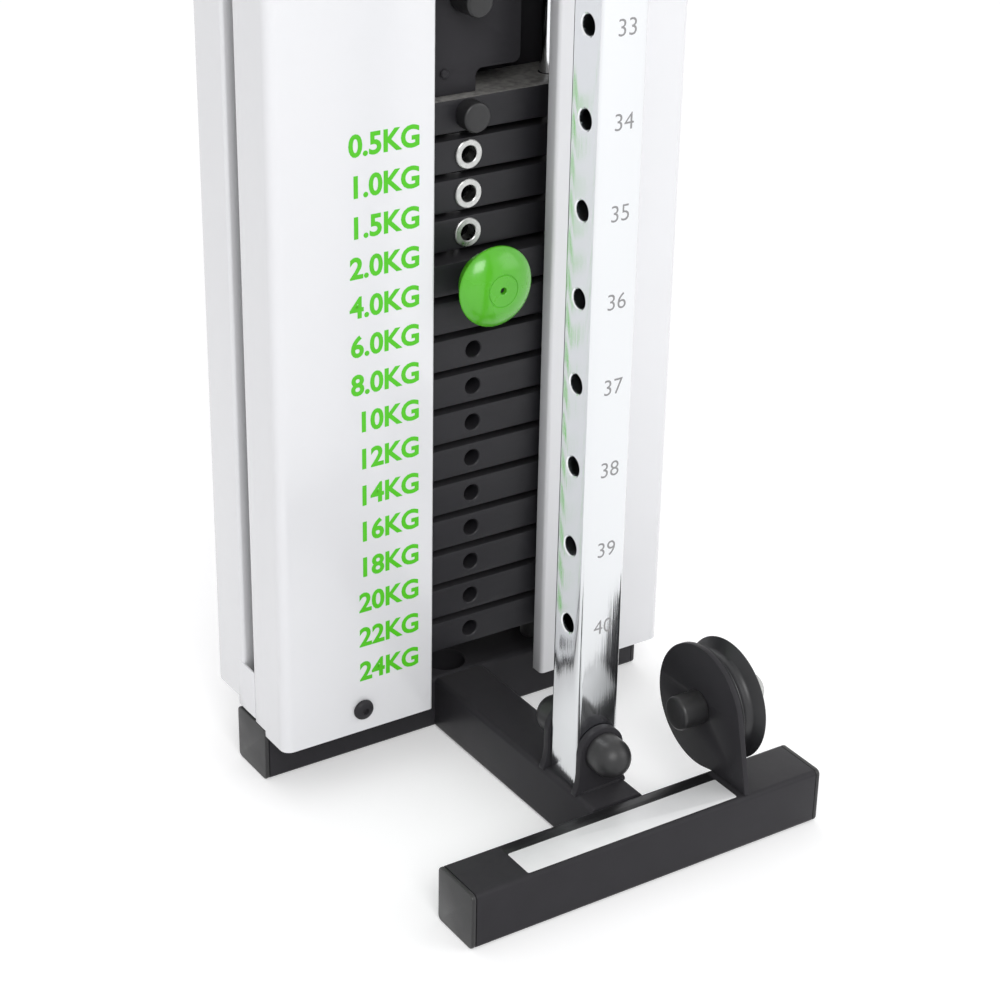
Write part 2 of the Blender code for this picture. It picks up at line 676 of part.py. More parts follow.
def build_covers():
    """Make the two front covers and the rear cover."""
    top = TOP_Z - COVER_TOP_GAP
    back_edge = COVER_Y + FRONT_COVER_SIDE
    bar = prism("bar_notch", "X", -COVER_HALF_WIDTH * 2, COVER_HALF_WIDTH * 4,
                rectangle(REAR_Y - GAP, -TUBE, REAR_Y + 2 * TUBE, TUBE + GAP))
    for name, side, edge in (("front_cover_left", -1, SLOT_LEFT), ("front_cover_right", 1, SLOT_RIGHT)):
        wall = side * COVER_HALF_WIDTH
        points = [(edge, COVER_Y + FRONT_RETURN), (edge, COVER_Y), (wall, COVER_Y), (wall, back_edge)]
        path = bend(points, (RETURN_BEND, COVER_BEND))
        if side > 0:
            path.reverse()
        cover = sheet(name, path, FRONT_COVER_BOTTOM, top, SHEET)
        keep(cut(cover, bar, screw_holes(name, side * BRACKET_X, COVER_Y)), "white_coat")
    wall = COVER_HALF_WIDTH
    lip = BACK_Y - REAR_COVER_SIDE
    points = [(wall - REAR_RETURN, lip), (wall, lip), (wall, BACK_Y), (-wall, BACK_Y), (-wall, lip),
              (REAR_RETURN - wall, lip)]
    path = bend(points, (RETURN_BEND, COVER_BEND, COVER_BEND, RETURN_BEND))
    rear = sheet("rear_cover", path[::-1], REAR_COVER_BOTTOM, top, SHEET)
    tabs = []
    for side in (-1, 1):
        inner = side * (wall - SHEET)
        outer = side * wall
        tabs.append(prism(f"tab_{side}", "Z", TAB_BOTTOM, TAB_TOP - TAB_BOTTOM,
                          rectangle(min(inner, outer), back_edge + GAP, max(inner, outer),
                                    lip + 3 * RETURN_BEND)))
    fuse(rear, *tabs)
    for side in (-1, 1):
        cut(rear, screw_holes(f"rear_{side}", side * BRACKET_X, BACK_Y))
    keep(rear, "white_coat")


def screw_heights():
    """Return the heights of the lower and upper cover screws."""
    return TUBE + SCREW_ABOVE_BAR, TOP_Z - SCREW_ABOVE_BAR


def screw_holes(name, x, y):
    """Return a cutter for the lower and upper screw at one side of a cover."""
    length = 6 * STRIP
    places = [(look(x, y - length / 2, z, (0, 1, 0)), SCREW_SHANK_RADIUS + GAP, length)
              for z in screw_heights()]
    return rods(name + "_holes", TINY, *places)


def add_strips(bar, z, rise, rear_tab=True):
    """Weld two bent strips on a bar, with the screws that hold the covers to them."""
    front = COVER_Y + SHEET + GAP
    back = BACK_Y - SHEET - GAP
    tab = z + rise * (2 * SCREW_ABOVE_BAR - 2 * STRIP)
    seat = z - rise * STRIP / 2
    top = z + rise * STRIP
    screw_z = z + rise * SCREW_ABOVE_BAR
    for hand, x in (("left", -BRACKET_X), ("right", BRACKET_X)):
        outline = [(front, seat), (back, seat), (back, top)]
        if rear_tab:
            outline[2:] = [(back, tab), (back - STRIP, tab), (back - STRIP, top)]
        outline += [(front + STRIP, top), (front + STRIP, tab), (front, tab)]
        name = f"{bar.name}_strip_{hand}"
        fuse(bar, prism(name, "X", x - BRACKET_WIDTH / 2, BRACKET_WIDTH, outline),
             button_screw(name + "_front", look(x, COVER_Y - GAP, screw_z, (0, -1, 0))))
        if rear_tab:
            fuse(bar, button_screw(name + "_back", look(x, BACK_Y + GAP, screw_z, (0, 1, 0))))
    return bar


def button_screw(name, place):
    """Return a button-head screw, its head standing on the place."""
    profile = [(0.0, SCREW_HEAD), (SCREW_HEAD_RADIUS * 0.65, SCREW_HEAD * 0.9),
               (SCREW_HEAD_RADIUS, 0.0), (SCREW_SHANK_RADIUS, 0.0),
               (SCREW_SHANK_RADIUS, -SCREW_LENGTH), (0.0, -SCREW_LENGTH)]
    return turned(name, profile, TINY, place)


# Tower inside the covers

def build_tower():
    """Make the uprights, back panel, guide rods and rubber buffers."""
    bottom = TUBE + GAP
    upright_y = REAR_Y + TUBE / 2
    for name, x in (("upright_left", -UPRIGHT_X), ("upright_right", UPRIGHT_X)):
        post = tube_along(name, "Z", bottom, TOP_Z - GAP - bottom, x, upright_y, UPRIGHT)
        keep(post, "black_coat")
    seat = upright_y + UPRIGHT / 2 + GAP
    edge = UPRIGHT_X + UPRIGHT / 2 - PANEL_EDGE
    back = REAR_Y + PANEL_BACK
    points = [(-edge, seat), (-PANEL_HALF_WIDTH, seat), (-PANEL_HALF_WIDTH, back),
              (PANEL_HALF_WIDTH, back), (PANEL_HALF_WIDTH, seat), (edge, seat)]
    panel = sheet("back_panel", points, PANEL_BOTTOM, TOP_Z - 4 * STRIP, PANEL_SHEET)
    panel.modifiers["wall"].offset = 1
    keep(panel, "black_coat")
    buffer_height = LOWEST_PLATE_Z - PLATE_THICKNESS / 2 - 2 * GAP - bottom
    for hand, x in (("left", -ROD_X), ("right", ROD_X)):
        guide = (look(x, STACK_Y, bottom, (0, 0, 1)), ROD_RADIUS, TOP_Z - GAP - bottom)
        keep(smooth(rods(f"guide_rod_{hand}", SMALL, guide)), "chrome")
        hole = circle(x, STACK_Y, ROD_RADIUS + GAP, SMALL)
        ring = circle(x, STACK_Y, BUFFER_RADIUS, SMALL)
        buffer = prism(f"stack_buffer_{hand}", "Z", bottom + GAP, buffer_height, ring, (hole,))
        keep(smooth(buffer), "rubber")


# Weight stack

def stack_plate(name, row, depth, stem_hole=STEM_BORE, padded=True, bushed=False):
    """Return a drilled plate of the stack, with the rubber pads on it and its pin bush."""
    half = PLATE_WIDTH / 2
    bottom = LOWEST_PLATE_Z + row * PLATE_PITCH - PLATE_THICKNESS / 2
    top = bottom + PLATE_THICKNESS
    outline = rectangle(-half, STACK_Y - depth / 2, half, STACK_Y + depth / 2)
    holes = [circle(x, STACK_Y, ROD_HOLE_RADIUS, TINY) for x in (-ROD_X, ROD_X)]
    holes.append(circle(0, STACK_Y, stem_hole, ROUND if bushed or not padded else TINY))
    plate = prism(name, "Z", bottom, PLATE_THICKNESS, outline, holes)
    if padded:
        pads = [(look(x, STACK_Y, top - GAP, (0, 0, 1)), PAD_RADIUS, PLATE_PITCH - PLATE_THICKNESS)
                for x in (-PAD_X, PAD_X)]
        fuse(plate, rods(name + "_pads", 6, *pads))
    start = STACK_Y - depth
    centre = bottom + PLATE_THICKNESS / 2
    if bushed:
        face = look(0, STACK_Y - depth / 2 + GAP, centre, (0, -1, 0))
        fuse(plate, rods(name + "_bush", SMALL, (face, BUSH_FLANGE_RADIUS, BUSH_FLANGE + GAP)))
    drill = rods(name + "_drill", TINY, (look(0, start, centre, (0, 1, 0)), PIN_BORE, depth))
    return keep(cut(plate, drill), "plate_black")


def build_stack():
    """Make the plates, the head plate with the plug of its pin hole, and the stem."""
    for row, label in enumerate(LOWER_PLATES):
        stack_plate(f"weight_plate_{label}kg", row, PLATE_DEPTH)
    stack_plate(f"weight_plate_{HEAVY_LIFTED_PLATE}kg", LOWER_COUNT, PLATE_DEPTH)
    for row, label in enumerate(LIGHT_PLATES, LOWER_COUNT + 1):
        stack_plate(f"weight_plate_{label}kg", row, LIGHT_PLATE_DEPTH, bushed=True)
    head = stack_plate("head_plate", HEAD_ROW, LIGHT_PLATE_DEPTH, STEM_RADIUS + 1.5 * GAP, padded=False)
    profile = [(0.0, HEAD_CAP_LENGTH), (HEAD_CAP_RADIUS - HEAD_CAP_EDGE, HEAD_CAP_LENGTH),
               (HEAD_CAP_RADIUS, HEAD_CAP_LENGTH - HEAD_CAP_EDGE), (HEAD_CAP_RADIUS, -GAP), (0.0, -GAP)]
    fuse(head, turned("head_plate_plug", profile, SMALL, look(0, LIGHT_FRONT_Y, HEAD_Z, (0, -1, 0))))
    build_stem()


def build_stem():
    """Make the drilled stem that hangs from the head plate through the stack."""
    bottom = LOWEST_PLATE_Z - PLATE_THICKNESS / 2
    stem = rods("selector_stem", TINY,
                (look(0, STACK_Y, bottom, (0, 0, 1)), STEM_RADIUS, HEAD_TOP - bottom))
    cross = [(look(0, STACK_Y - 2 * STEM_RADIUS, LOWEST_PLATE_Z + row * PLATE_PITCH, (0, 1, 0)),
              PIN_BORE, 4 * STEM_RADIUS) for row in range(HEAD_ROW)]
    keep(cut(stem, rods("stem_drill", TINY, *cross)), "steel")


# Lifting pulley

def build_lift():
    """Make the twin-plate bracket, pulley, bolt and cap on the head plate."""
    _, _, width = MAIN_WHEEL
    inner = width / 2 + WHEEL_SIDE_GAP
    outline = lift_outline()
    hole = circle(0, LIFT_Z, M8[0] + GAP, SMALL)
    bracket = prism("lift_bracket", "Y", STACK_Y - inner - BRACKET_PLATE, BRACKET_PLATE, outline, (hole,))
    rear_plate = prism("lift_rear", "Y", STACK_Y + inner, BRACKET_PLATE, outline, (hole,))
    half = inner + BRACKET_PLATE / 2
    seat = prism("lift_seat", "Z", HEAD_TOP + 2 * GAP, BRACKET_PLATE,
                 rectangle(LIFT_NECK_LEFT + GAP, STACK_Y - half, LIFT_NECK_RIGHT - GAP, STACK_Y + half))
    keep(fuse(bracket, rear_plate, seat), "black_coat")
    keep(smooth(wheel("lift_pulley", MAIN_WHEEL, M8[0] + RUN, look(0, STACK_Y, LIFT_Z, (0, 1, 0)))),
         "nylon")
    front = STACK_Y - inner - BRACKET_PLATE - GAP
    rear = STACK_Y + inner + BRACKET_PLATE + GAP
    keep(bolt("lift_bolt", M8, look(0, front, LIFT_Z, (0, 1, 0)), rear - front), "zinc")
    cap = hollow_cap("lift_bolt_cap", LIFT_CAP_RADIUS, LIFT_CAP_LENGTH, M8[1] + 2 * GAP,
                     M8[2] + GAP, SMALL, look(0, front, LIFT_Z, (0, -1, 0)))
    keep(smooth(cap), "rubber")


def lift_outline():
    """Return the outline of a lifting plate: a round-topped shield on a narrow neck."""
    foot = HEAD_TOP + GAP
    shoulder = foot + LIFT_NECK_HEIGHT
    radius = LIFT_PLATE_RADIUS
    fillet = LIFT_NECK_FILLET
    outline = [(LIFT_NECK_LEFT, foot), (LIFT_NECK_RIGHT, foot)]
    outline += arc(LIFT_NECK_RIGHT + fillet, shoulder - fillet, fillet, 180, 90, 3)
    outline += arc(radius - fillet, shoulder + fillet, fillet, 270, 360, 3)
    outline += arc(0, LIFT_Z, radius, 0, 180, 12)
    outline += arc(fillet - radius, shoulder + fillet, fillet, 180, 270, 3)
    outline += arc(LIFT_NECK_LEFT - fillet, shoulder - fillet, fillet, 90, 0, 3)
    return outline


# Selector pin

def build_selector():
    """Make the selector pin in the lowest lifted plate, and its mushroom knob."""
    face = HEAVY_FRONT_Y - KNOB_FRONT
    tip = STACK_Y + STEM_RADIUS + GAP
    root = face + KNOB_FRONT * KNOB_SEAT
    pin = rods("selector_pin", TINY, (look(0, root, SELECTED_Z, (0, 1, 0)), PIN_RADIUS, tip - root))
    keep(smooth(pin), "steel")
    bore = PIN_RADIUS + GAP
    depth = KNOB_FRONT - KNOB_CLEAR
    hollow = depth - KNOB_FRONT * KNOB_SEAT + KNOB_CLEAR + GAP
    profile = [(0.0, depth)]
    profile += [(KNOB_RADIUS * wide, depth * high) for wide, high in KNOB_SHAPE]
    profile += [(KNOB_NECK_RADIUS, KNOB_NECK), (KNOB_NECK_RADIUS, 0.0),
                (bore, 0.0), (bore, hollow), (0.0, hollow)]
    start = HEAVY_FRONT_Y - KNOB_CLEAR
    knob = turned("selector_knob", profile, FINE, look(0, start, SELECTED_Z, (0, -1, 0)))
    keep(smooth(knob), "green")


# Carriage

def build_carriage():
    """Make the sliding carriage with its liner and arm."""
    bottom = CARRIAGE_Z - SLEEVE_BELOW
    height = SLEEVE_BELOW + SLEEVE_ABOVE
    inside = SLEEVE - 2 * SLEEVE_WALL
    hollow = prism("sleeve_hollow", "Z", bottom - TUBE, height + 2 * TUBE,
                   square(0, COLUMN_Y, inside, COLUMN_CORNER, 1))
    sleeve = prism("carriage_body", "Z", bottom, height,
                   square(0, COLUMN_Y, SLEEVE, COLUMN_CORNER + SLEEVE_WALL))
    arm_start = SLEEVE / 2 - SLEEVE_WALL / 2
    for i, under in enumerate((LOWER_LUG, UPPER_LUG)):
        lug = [(arm_start, SWIVEL_Y - LUG_WIDTH / 2)]
        lug += arc(WHEEL_X, SWIVEL_Y, LUG_WIDTH / 2, -90, 90, 6)
        lug.append((arm_start, SWIVEL_Y + LUG_WIDTH / 2))
        fuse(sleeve, prism(f"lug_{i}", "Z", CARRIAGE_Z + under, LUG_THICKNESS, lug))
    spine = rectangle(arm_start, SWIVEL_Y - LUG_WIDTH / 2,
                      SLEEVE / 2 + ARM_BACK, SWIVEL_Y + LUG_WIDTH / 2)
    middle = UPPER_LUG - LOWER_LUG
    fuse(sleeve, prism("arm_back", "Z", CARRIAGE_Z + LOWER_LUG + GAP, middle, spine))
    barrel_place = look(-SLEEVE / 2 + SLEEVE_WALL / 2, COLUMN_Y, CARRIAGE_Z, (-1, 0, 0))
    fuse(sleeve, rods("barrel", SMALL, (barrel_place, BARREL_RADIUS, BARREL_LENGTH + SLEEVE_WALL / 2)))
    pin_bore = LOCK_PIN_RADIUS + BARREL_BORE_PLAY
    bore_place = look(0, COLUMN_Y, CARRIAGE_Z, (-1, 0, 0))
    pivot_place = look(WHEEL_X, SWIVEL_Y, CARRIAGE_Z + LOWER_LUG - TUBE, (0, 0, 1))
    pivot_length = UPPER_LUG - LOWER_LUG + 2 * TUBE
    cut(sleeve, hollow, rods("barrel_bore", SMALL, (bore_place, pin_bore, SLEEVE + BARREL_LENGTH)),
        rods("pivot_bore", SMALL, (pivot_place, PIVOT_RADIUS + GAP, pivot_length)))
    keep(sleeve, "black_coat")
    hole = square(0, COLUMN_Y, COLUMN + 2 * LINER_PLAY, COLUMN_CORNER)
    ring = square(0, COLUMN_Y, inside - 2 * GAP, COLUMN_CORNER, 1)
    liner = prism("carriage_liner", "Z", bottom - LINER_BEYOND, height + 2 * LINER_BEYOND, ring, (hole,))
    pin_hole = rods("liner_hole", SMALL, (bore_place, pin_bore, SLEEVE))
    keep(cut(liner, pin_hole), "nylon")
    build_lock_pin()
    build_fork()


def build_lock_pin():
    """Make the pull pin that locks the carriage in a hole of the column, and its knob, parked out."""
    tip = -COLUMN / 2 - LINER_PLAY - LOCK_PIN_CLEAR
    barrel_end = -SLEEVE / 2 - BARREL_LENGTH
    knob_face = barrel_end - PULL_KNOB_GAP - LOCK_PIN_CLEAR - LOCK_PIN_REACH
    seat = knob_face - PULL_KNOB_LENGTH * 0.6
    pin = rods("lock_pin", SMALL,
               (look(tip, COLUMN_Y, CARRIAGE_Z, (-1, 0, 0)), LOCK_PIN_RADIUS, tip - seat))
    keep(smooth(pin), "steel")
    bore = LOCK_PIN_RADIUS + GAP
    radius = PULL_KNOB_RADIUS
    length = PULL_KNOB_LENGTH
    hollow = length * 0.6 + GAP
    profile = [(0.0, length), (radius * 0.7, length), (radius, length * 0.75), (radius, length * 0.4),
               (radius * 0.62, 0.0), (bore, 0.0), (bore, hollow), (0.0, hollow)]
    knob = turned("lock_pin_knob", profile, ROUND, look(knob_face, COLUMN_Y, CARRIAGE_Z, (-1, 0, 0)))
    keep(smooth(knob), "rubber")


def build_fork():
    """Make the swivelling fork with its pulley and bolt."""
    low = CARRIAGE_Z + LOWER_LUG + LUG_THICKNESS + 2 * GAP
    high = CARRIAGE_Z + UPPER_LUG - 2 * GAP
    rim, groove, width = FORK_WHEEL
    line = groove + CABLE_RADIUS
    axle_y = SWIVEL_Y - line
    axle_z = CARRIAGE_Z + FORK_AXLE_Z
    inner = width / 2 + WHEEL_SIDE_GAP
    nose_top = tangent(SWIVEL_Y - FORK_REAR, high, axle_y, axle_z, FORK_NOSE_RADIUS, 1)
    nose_low = tangent(SWIVEL_Y - FORK_REAR, low, axle_y, axle_z, FORK_NOSE_RADIUS, -1)
    sweep = (nose_low - nose_top) % (2 * math.pi)
    cheek = [(SWIVEL_Y - FORK_REAR, low), (SWIVEL_Y + FORK_REAR, low), (SWIVEL_Y + FORK_REAR, high),
             (SWIVEL_Y - FORK_REAR, high)]
    cheek += arc(axle_y, axle_z, FORK_NOSE_RADIUS,
                 math.degrees(nose_top), math.degrees(nose_top + sweep), 7)
    hole = circle(axle_y, axle_z, M8[0] + GAP, SMALL)
    fork = prism("swivel_fork", "X", WHEEL_X - inner - FORK_CHEEK, FORK_CHEEK, cheek, (hole,))
    other = prism("fork_cheek", "X", WHEEL_X + inner, FORK_CHEEK, cheek, (hole,))
    half = inner + FORK_CHEEK / 2
    bridge = rectangle(WHEEL_X - half, SWIVEL_Y - FORK_REAR + GAP,
                       WHEEL_X + half, SWIVEL_Y + FORK_REAR - GAP)
    lower = prism("fork_lower", "Z", low + GAP, FORK_PLATE, bridge)
    upper = prism("fork_upper", "Z", high - FORK_PLATE - GAP, FORK_PLATE, bridge)
    reach = LUG_THICKNESS + 3 * GAP
    pivots = rods("fork_pivots", SMALL,
                  (look(WHEEL_X, SWIVEL_Y, low + 2 * GAP, (0, 0, -1)), PIVOT_RADIUS, reach),
                  (look(WHEEL_X, SWIVEL_Y, high - 2 * GAP, (0, 0, 1)), PIVOT_RADIUS, reach))
    bores = rods("fork_bores", TINY,
                 (look(WHEEL_X, SWIVEL_Y, low - TUBE, (0, 0, 1)), PIVOT_BORE, high - low + 2 * TUBE))
    fuse(fork, other, lower, upper, pivots)
    keep(cut(fork, bores), "black_coat")
    keep(smooth(wheel("fork_pulley", FORK_WHEEL, M8[0] + RUN, look(WHEEL_X, axle_y, axle_z, (1, 0, 0)))),
         "nylon")
    start = WHEEL_X - inner - FORK_CHEEK - GAP
    end = WHEEL_X + inner + FORK_CHEEK + GAP
    keep(bolt("fork_bolt", M8, look(start, axle_y, axle_z, (1, 0, 0)), end - start), "zinc")


# Top plate and the pulleys on it

def cable_legs():
    """Return both cable legs: over the stack first, then at the column, as flat points."""
    return (((MAIN_LINE, STACK_Y), (WHEEL_X, SWIVEL_Y)),
            ((-MAIN_LINE, STACK_Y), (WHEEL_X, FRONT_LINE_Y)))


def build_top():
    """Make the top plate with all that is welded to it, and two pulleys for each cable leg."""
    wall = COVER_HALF_WIDTH
    outline = [(-wall, BACK_Y), (-wall, COVER_Y), (TOP_FRONT_LEFT, COVER_Y)]
    outline += arc(TOP_FRONT_LEFT + TOP_CORNER, FRONT_Y + TOP_CORNER, TOP_CORNER, 180, 270, ARC)
    outline += arc(TOP_FRONT_RIGHT - TOP_CORNER, FRONT_Y + TOP_CORNER, TOP_CORNER, 270, 360, ARC)
    outline += [(TOP_FRONT_RIGHT, COVER_Y), (wall, COVER_Y), (wall, BACK_Y)]
    holes = [circle(x, y, CABLE_HOLE_RADIUS, SMALL) for leg in cable_legs() for x, y in leg]
    plate = prism("top_plate", "Z", TOP_Z, TOP_PLATE, outline, holes)
    spigot = prism("column_top_spigot", "Z", TOP_Z - PLUG_LENGTH, PLUG_LENGTH + TOP_PLATE / 2,
                   square(0, COLUMN_Y, COLUMN - 2 * COLUMN_WALL - 2 * GAP,
                          COLUMN_CORNER - COLUMN_WALL, 1))
    fuse(plate, spigot)
    for number, leg in enumerate(cable_legs(), 1):
        fuse(plate, *build_top_leg(number, leg))
    keep(add_strips(plate, TOP_Z, -1, rear_tab=False), "black_coat")
    build_wall_bar()


def build_wall_bar():
    """Make the tube that is bolted to the wall, with a lip that holds the rear cover's top edge."""
    seat = TOP_Z + TOP_PLATE + GAP
    front = WALL_Y - WALL_BAR
    inside = rectangle(front + WALL_BAR_WALL, seat + WALL_BAR_WALL,
                       WALL_Y - WALL_BAR_WALL, seat + WALL_BAR - WALL_BAR_WALL)
    outline = [(front, seat), (front, seat + WALL_BAR), (WALL_Y, seat + WALL_BAR),
               (WALL_Y, TOP_Z - WALL_LIP), (BACK_Y + GAP, TOP_Z - WALL_LIP), (BACK_Y + GAP, seat)]
    bar = prism("wall_bar", "X", -COVER_HALF_WIDTH, 2 * COVER_HALF_WIDTH, outline, (inside,))
    bolts = [(look(x, front - WALL_BAR, seat + WALL_BAR / 2, (0, 1, 0)), WALL_HOLE_RADIUS, 3 * WALL_BAR)
             for x in (-WALL_HOLE_X, WALL_HOLE_X)]
    keep(cut(bar, rods("wall_holes", SMALL, *bolts)), "black_coat")


def build_top_leg(number, leg):
    """Make the pulleys at both ends of a cable leg, and return the plate and bolts they run on."""
    (x0, y0), (x1, y1) = leg
    span = math.hypot(x1 - x0, y1 - y0)
    turn = Matrix.Rotation(math.atan2(y1 - y0, x1 - x0), 4, "Z")
    frame = Matrix.Translation((x0, y0, TOP_Z + TOP_PLATE)) @ turn
    rim, groove, width = TOP_WHEEL
    line = groove + CABLE_RADIUS
    axle_z = rim + 3 * WHEEL_SIDE_GAP
    axles = (line, span - line)
    inner = width / 2 + WHEEL_SIDE_GAP + TOP_SPACER
    radius = TOP_BRACKET_RADIUS
    outline = [(line - radius, -TOP_PLATE / 2), (span - line + radius, -TOP_PLATE / 2)]
    outline += arc(span - line, axle_z, radius, 0, 90, 6)
    outline += arc(line, axle_z, radius, 90, 180, 6)
    solids = [prism(f"leg_plate_{number}", "Y", -inner - BRACKET_PLATE, BRACKET_PLATE, outline,
                    frame=frame)]
    for end, s in zip(("rear", "front"), axles):
        place = frame @ look(s, 0, axle_z, (0, 1, 0))
        keep(smooth(wheel(f"top_pulley_{end}_{number}", TOP_WHEEL, M10[0] + RUN, place)), "nylon")
        head = frame @ look(s, -inner - BRACKET_PLATE, axle_z, (0, 1, 0))
        boss = frame @ look(s, -inner - GAP, axle_z, (0, 1, 0))
        solids += [rods(f"leg_{number}_{end}_boss", SMALL, (boss, TOP_SPACER_RADIUS, TOP_SPACER + GAP)),
                   bolt(f"leg_{number}_{end}_bolt", M10, head, pulley_grip(TOP_WHEEL) + TOP_SPACER)]
    return solids


build_base()
build_column()
build_base_pulley()
build_covers()
build_tower()
build_stack()
build_lift()
build_selector()
build_carriage()
build_top()
bpy.context.view_layer.update()
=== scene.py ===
"""Looks of the cable pulley tower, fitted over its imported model.

Metres, +Z up. -Y is the side that the user faces, where the drilled column stands.
"""

from __future__ import annotations

import functools
import logging
import math
from dataclasses import dataclass
from enum import Enum

import bmesh
import bpy
from mathutils import Matrix, Vector


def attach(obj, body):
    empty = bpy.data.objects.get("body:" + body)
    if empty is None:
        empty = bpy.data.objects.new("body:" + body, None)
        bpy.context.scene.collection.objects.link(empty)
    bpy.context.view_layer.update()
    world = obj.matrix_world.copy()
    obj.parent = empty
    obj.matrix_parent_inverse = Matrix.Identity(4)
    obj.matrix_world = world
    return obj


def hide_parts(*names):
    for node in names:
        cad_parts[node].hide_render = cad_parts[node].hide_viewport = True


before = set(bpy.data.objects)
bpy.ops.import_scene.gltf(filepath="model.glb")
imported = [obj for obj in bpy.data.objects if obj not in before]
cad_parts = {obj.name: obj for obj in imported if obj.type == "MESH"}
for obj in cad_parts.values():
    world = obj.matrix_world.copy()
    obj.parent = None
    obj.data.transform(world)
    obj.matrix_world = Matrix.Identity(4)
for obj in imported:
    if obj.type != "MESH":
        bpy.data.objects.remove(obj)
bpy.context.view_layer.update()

LOG = logging.getLogger("tower")
Point = tuple[float, float]
Place = tuple[float, float, float]
Piece = bpy.types.Object
LEFT, RIGHT, FRONT, BACK = (-1, 0, 0), (1, 0, 0), (0, -1, 0), (0, 1, 0)
HANDS = (("left", -1), ("right", 1))


class Axis(Enum):
    """The axis that a flat outline is raised along, with the turn that brings it there."""

    X = ((0, 0, 1), (1, 0, 0), (0, 1, 0))
    Y = ((1, 0, 0), (0, 0, -1), (0, 1, 0))
    Z = ((1, 0, 0), (0, 1, 0), (0, 0, 1))

    def turn(self) -> Matrix:
        """Return the turn as a 4x4 matrix."""
        return Matrix(self.value).to_4x4()

    def unit(self) -> Vector:
        """Return the axis as a unit vector."""
        return Vector([1.0 if name == self.name else 0.0 for name in "XYZ"])


def aim(place: Place, way: Place) -> Matrix:
    """Return a matrix that stands +Z at a place and points it a given way."""
    turn = Vector((0, 0, 1)).rotation_difference(Vector(way)).to_matrix().to_4x4()
    return Matrix.Translation(place) @ turn


def arc(x: float, y: float, radius: float, start: float, end: float, count: int) -> list[Point]:
    """Return points on an arc.

    Args:
        x: The centre's first coordinate.
        y: The centre's second coordinate.
        radius: The arc's radius.
        start: The first angle, in degrees.
        end: The last angle, in degrees.
        count: How many chords the arc has.

    Returns:
        count + 1 points.
    """
    angles = [math.radians(start + (end - start) * i / count) for i in range(count + 1)]
    return [(x + radius * math.cos(a), y + radius * math.sin(a)) for a in angles]


def ring(x: float, y: float, radius: float, count: int = 32) -> list[Point]:
    """Return the outline of a round hole."""
    return arc(x, y, radius, 0, 360, count)[:-1]


def rounded(low: Point, high: Point, radius: float, count: int = 6) -> list[Point]:
    """Return a rectangle's outline with round corners."""
    (x0, y0), (x1, y1) = low, high
    outline = arc(x0 + radius, y0 + radius, radius, 180, 270, count)
    outline += arc(x1 - radius, y0 + radius, radius, 270, 360, count)
    outline += arc(x1 - radius, y1 - radius, radius, 0, 90, count)
    return outline + arc(x0 + radius, y1 - radius, radius, 90, 180, count)


def nose(first: Point, last: Point, centre: Point, radius: float, count: int) -> list[Point]:
    """Return the arc round a centre that two points reach by tangents.

    Args:
        first: The point before the arc, which runs anticlockwise.
        last: The point after it.
        centre: The arc's centre.
        radius: The arc's radius.
        count: How many chords it has.

    Returns:
        The arc's points.
    """
    angles = []
    for point, side in ((first, 1), (last, -1)):
        x, y = point[0] - centre[0], point[1] - centre[1]
        angles.append(math.degrees(math.atan2(y, x) + side * math.acos(radius / math.hypot(x, y))))
    return arc(*centre, radius, angles[0], angles[0] + (angles[1] - angles[0]) % 360, count)


def bend(points: list[Point], radii: list[float], count: int = 8) -> list[Point]:
    """Return an open path with its inner corners rounded.

    Args:
        points: The path's corners, ends included.
        radii: One radius for each inner corner.
        count: How many chords each bend has.

    Returns:
        The points of the bent path.
    """
    path = [points[0]]
    for before, middle, after, radius in zip(points, points[1:], points[2:], radii):
        corner = Vector(middle)
        a = (Vector(before) - corner).normalized()
        b = (Vector(after) - corner).normalized()
        half = a.angle(b) / 2
        centre = corner + (a + b).normalized() * (radius / math.sin(half))
        start = corner + a * (radius / math.tan(half)) - centre
        end = corner + b * (radius / math.tan(half)) - centre
        first = math.degrees(math.atan2(start.y, start.x))
        swing = (math.degrees(math.atan2(end.y, end.x)) - first + 180) % 360 - 180
        path += arc(centre.x, centre.y, radius, first, first + swing, count)
    return path + [points[-1]]


def pick(piece: Piece | None = None) -> None:
    """Leave edit mode and deselect everything, or all but one active piece."""
    if bpy.context.mode != "OBJECT":
        bpy.ops.object.mode_set(mode="OBJECT")
    bpy.ops.object.select_all(action="DESELECT")
    if piece:
        piece.select_set(True)
        bpy.context.view_layer.objects.active = piece


def rename(piece: Piece, name: str) -> Piece:
    """Name a piece and its mesh alike."""
    piece.name = name
    piece.data.name = name
    return piece


def settle(piece: Piece, name: str) -> Piece:
    """Move a piece's place into its mesh, and name it."""
    pick(piece)
    bpy.ops.object.transform_apply(location=True, rotation=True, scale=True)
    return rename(piece, name)


def smooth(piece: Piece, degrees: float = 32) -> Piece:
    """Shade a piece smooth except at its sharp edges."""
    pick(piece)
    bpy.ops.object.shade_smooth_by_angle(angle=math.radians(degrees))
    return piece


def modify(piece: Piece, kind: str, **settings: object) -> Piece:
    """Add a modifier with its settings and apply it."""
    pick(piece)
    step = piece.modifiers.new(kind.lower(), kind)
    for key, value in settings.items():
        setattr(step, key, value)
    bpy.ops.object.modifier_apply(modifier=step.name)
    return piece


def soften(piece: Piece, width: float, degrees: float) -> Piece:
    """Bevel the edges that turn by more than an angle, and shade the piece."""
    modify(piece, "BEVEL", width=width, segments=2, limit_method="ANGLE",
           angle_limit=math.radians(degrees))
    return smooth(piece)


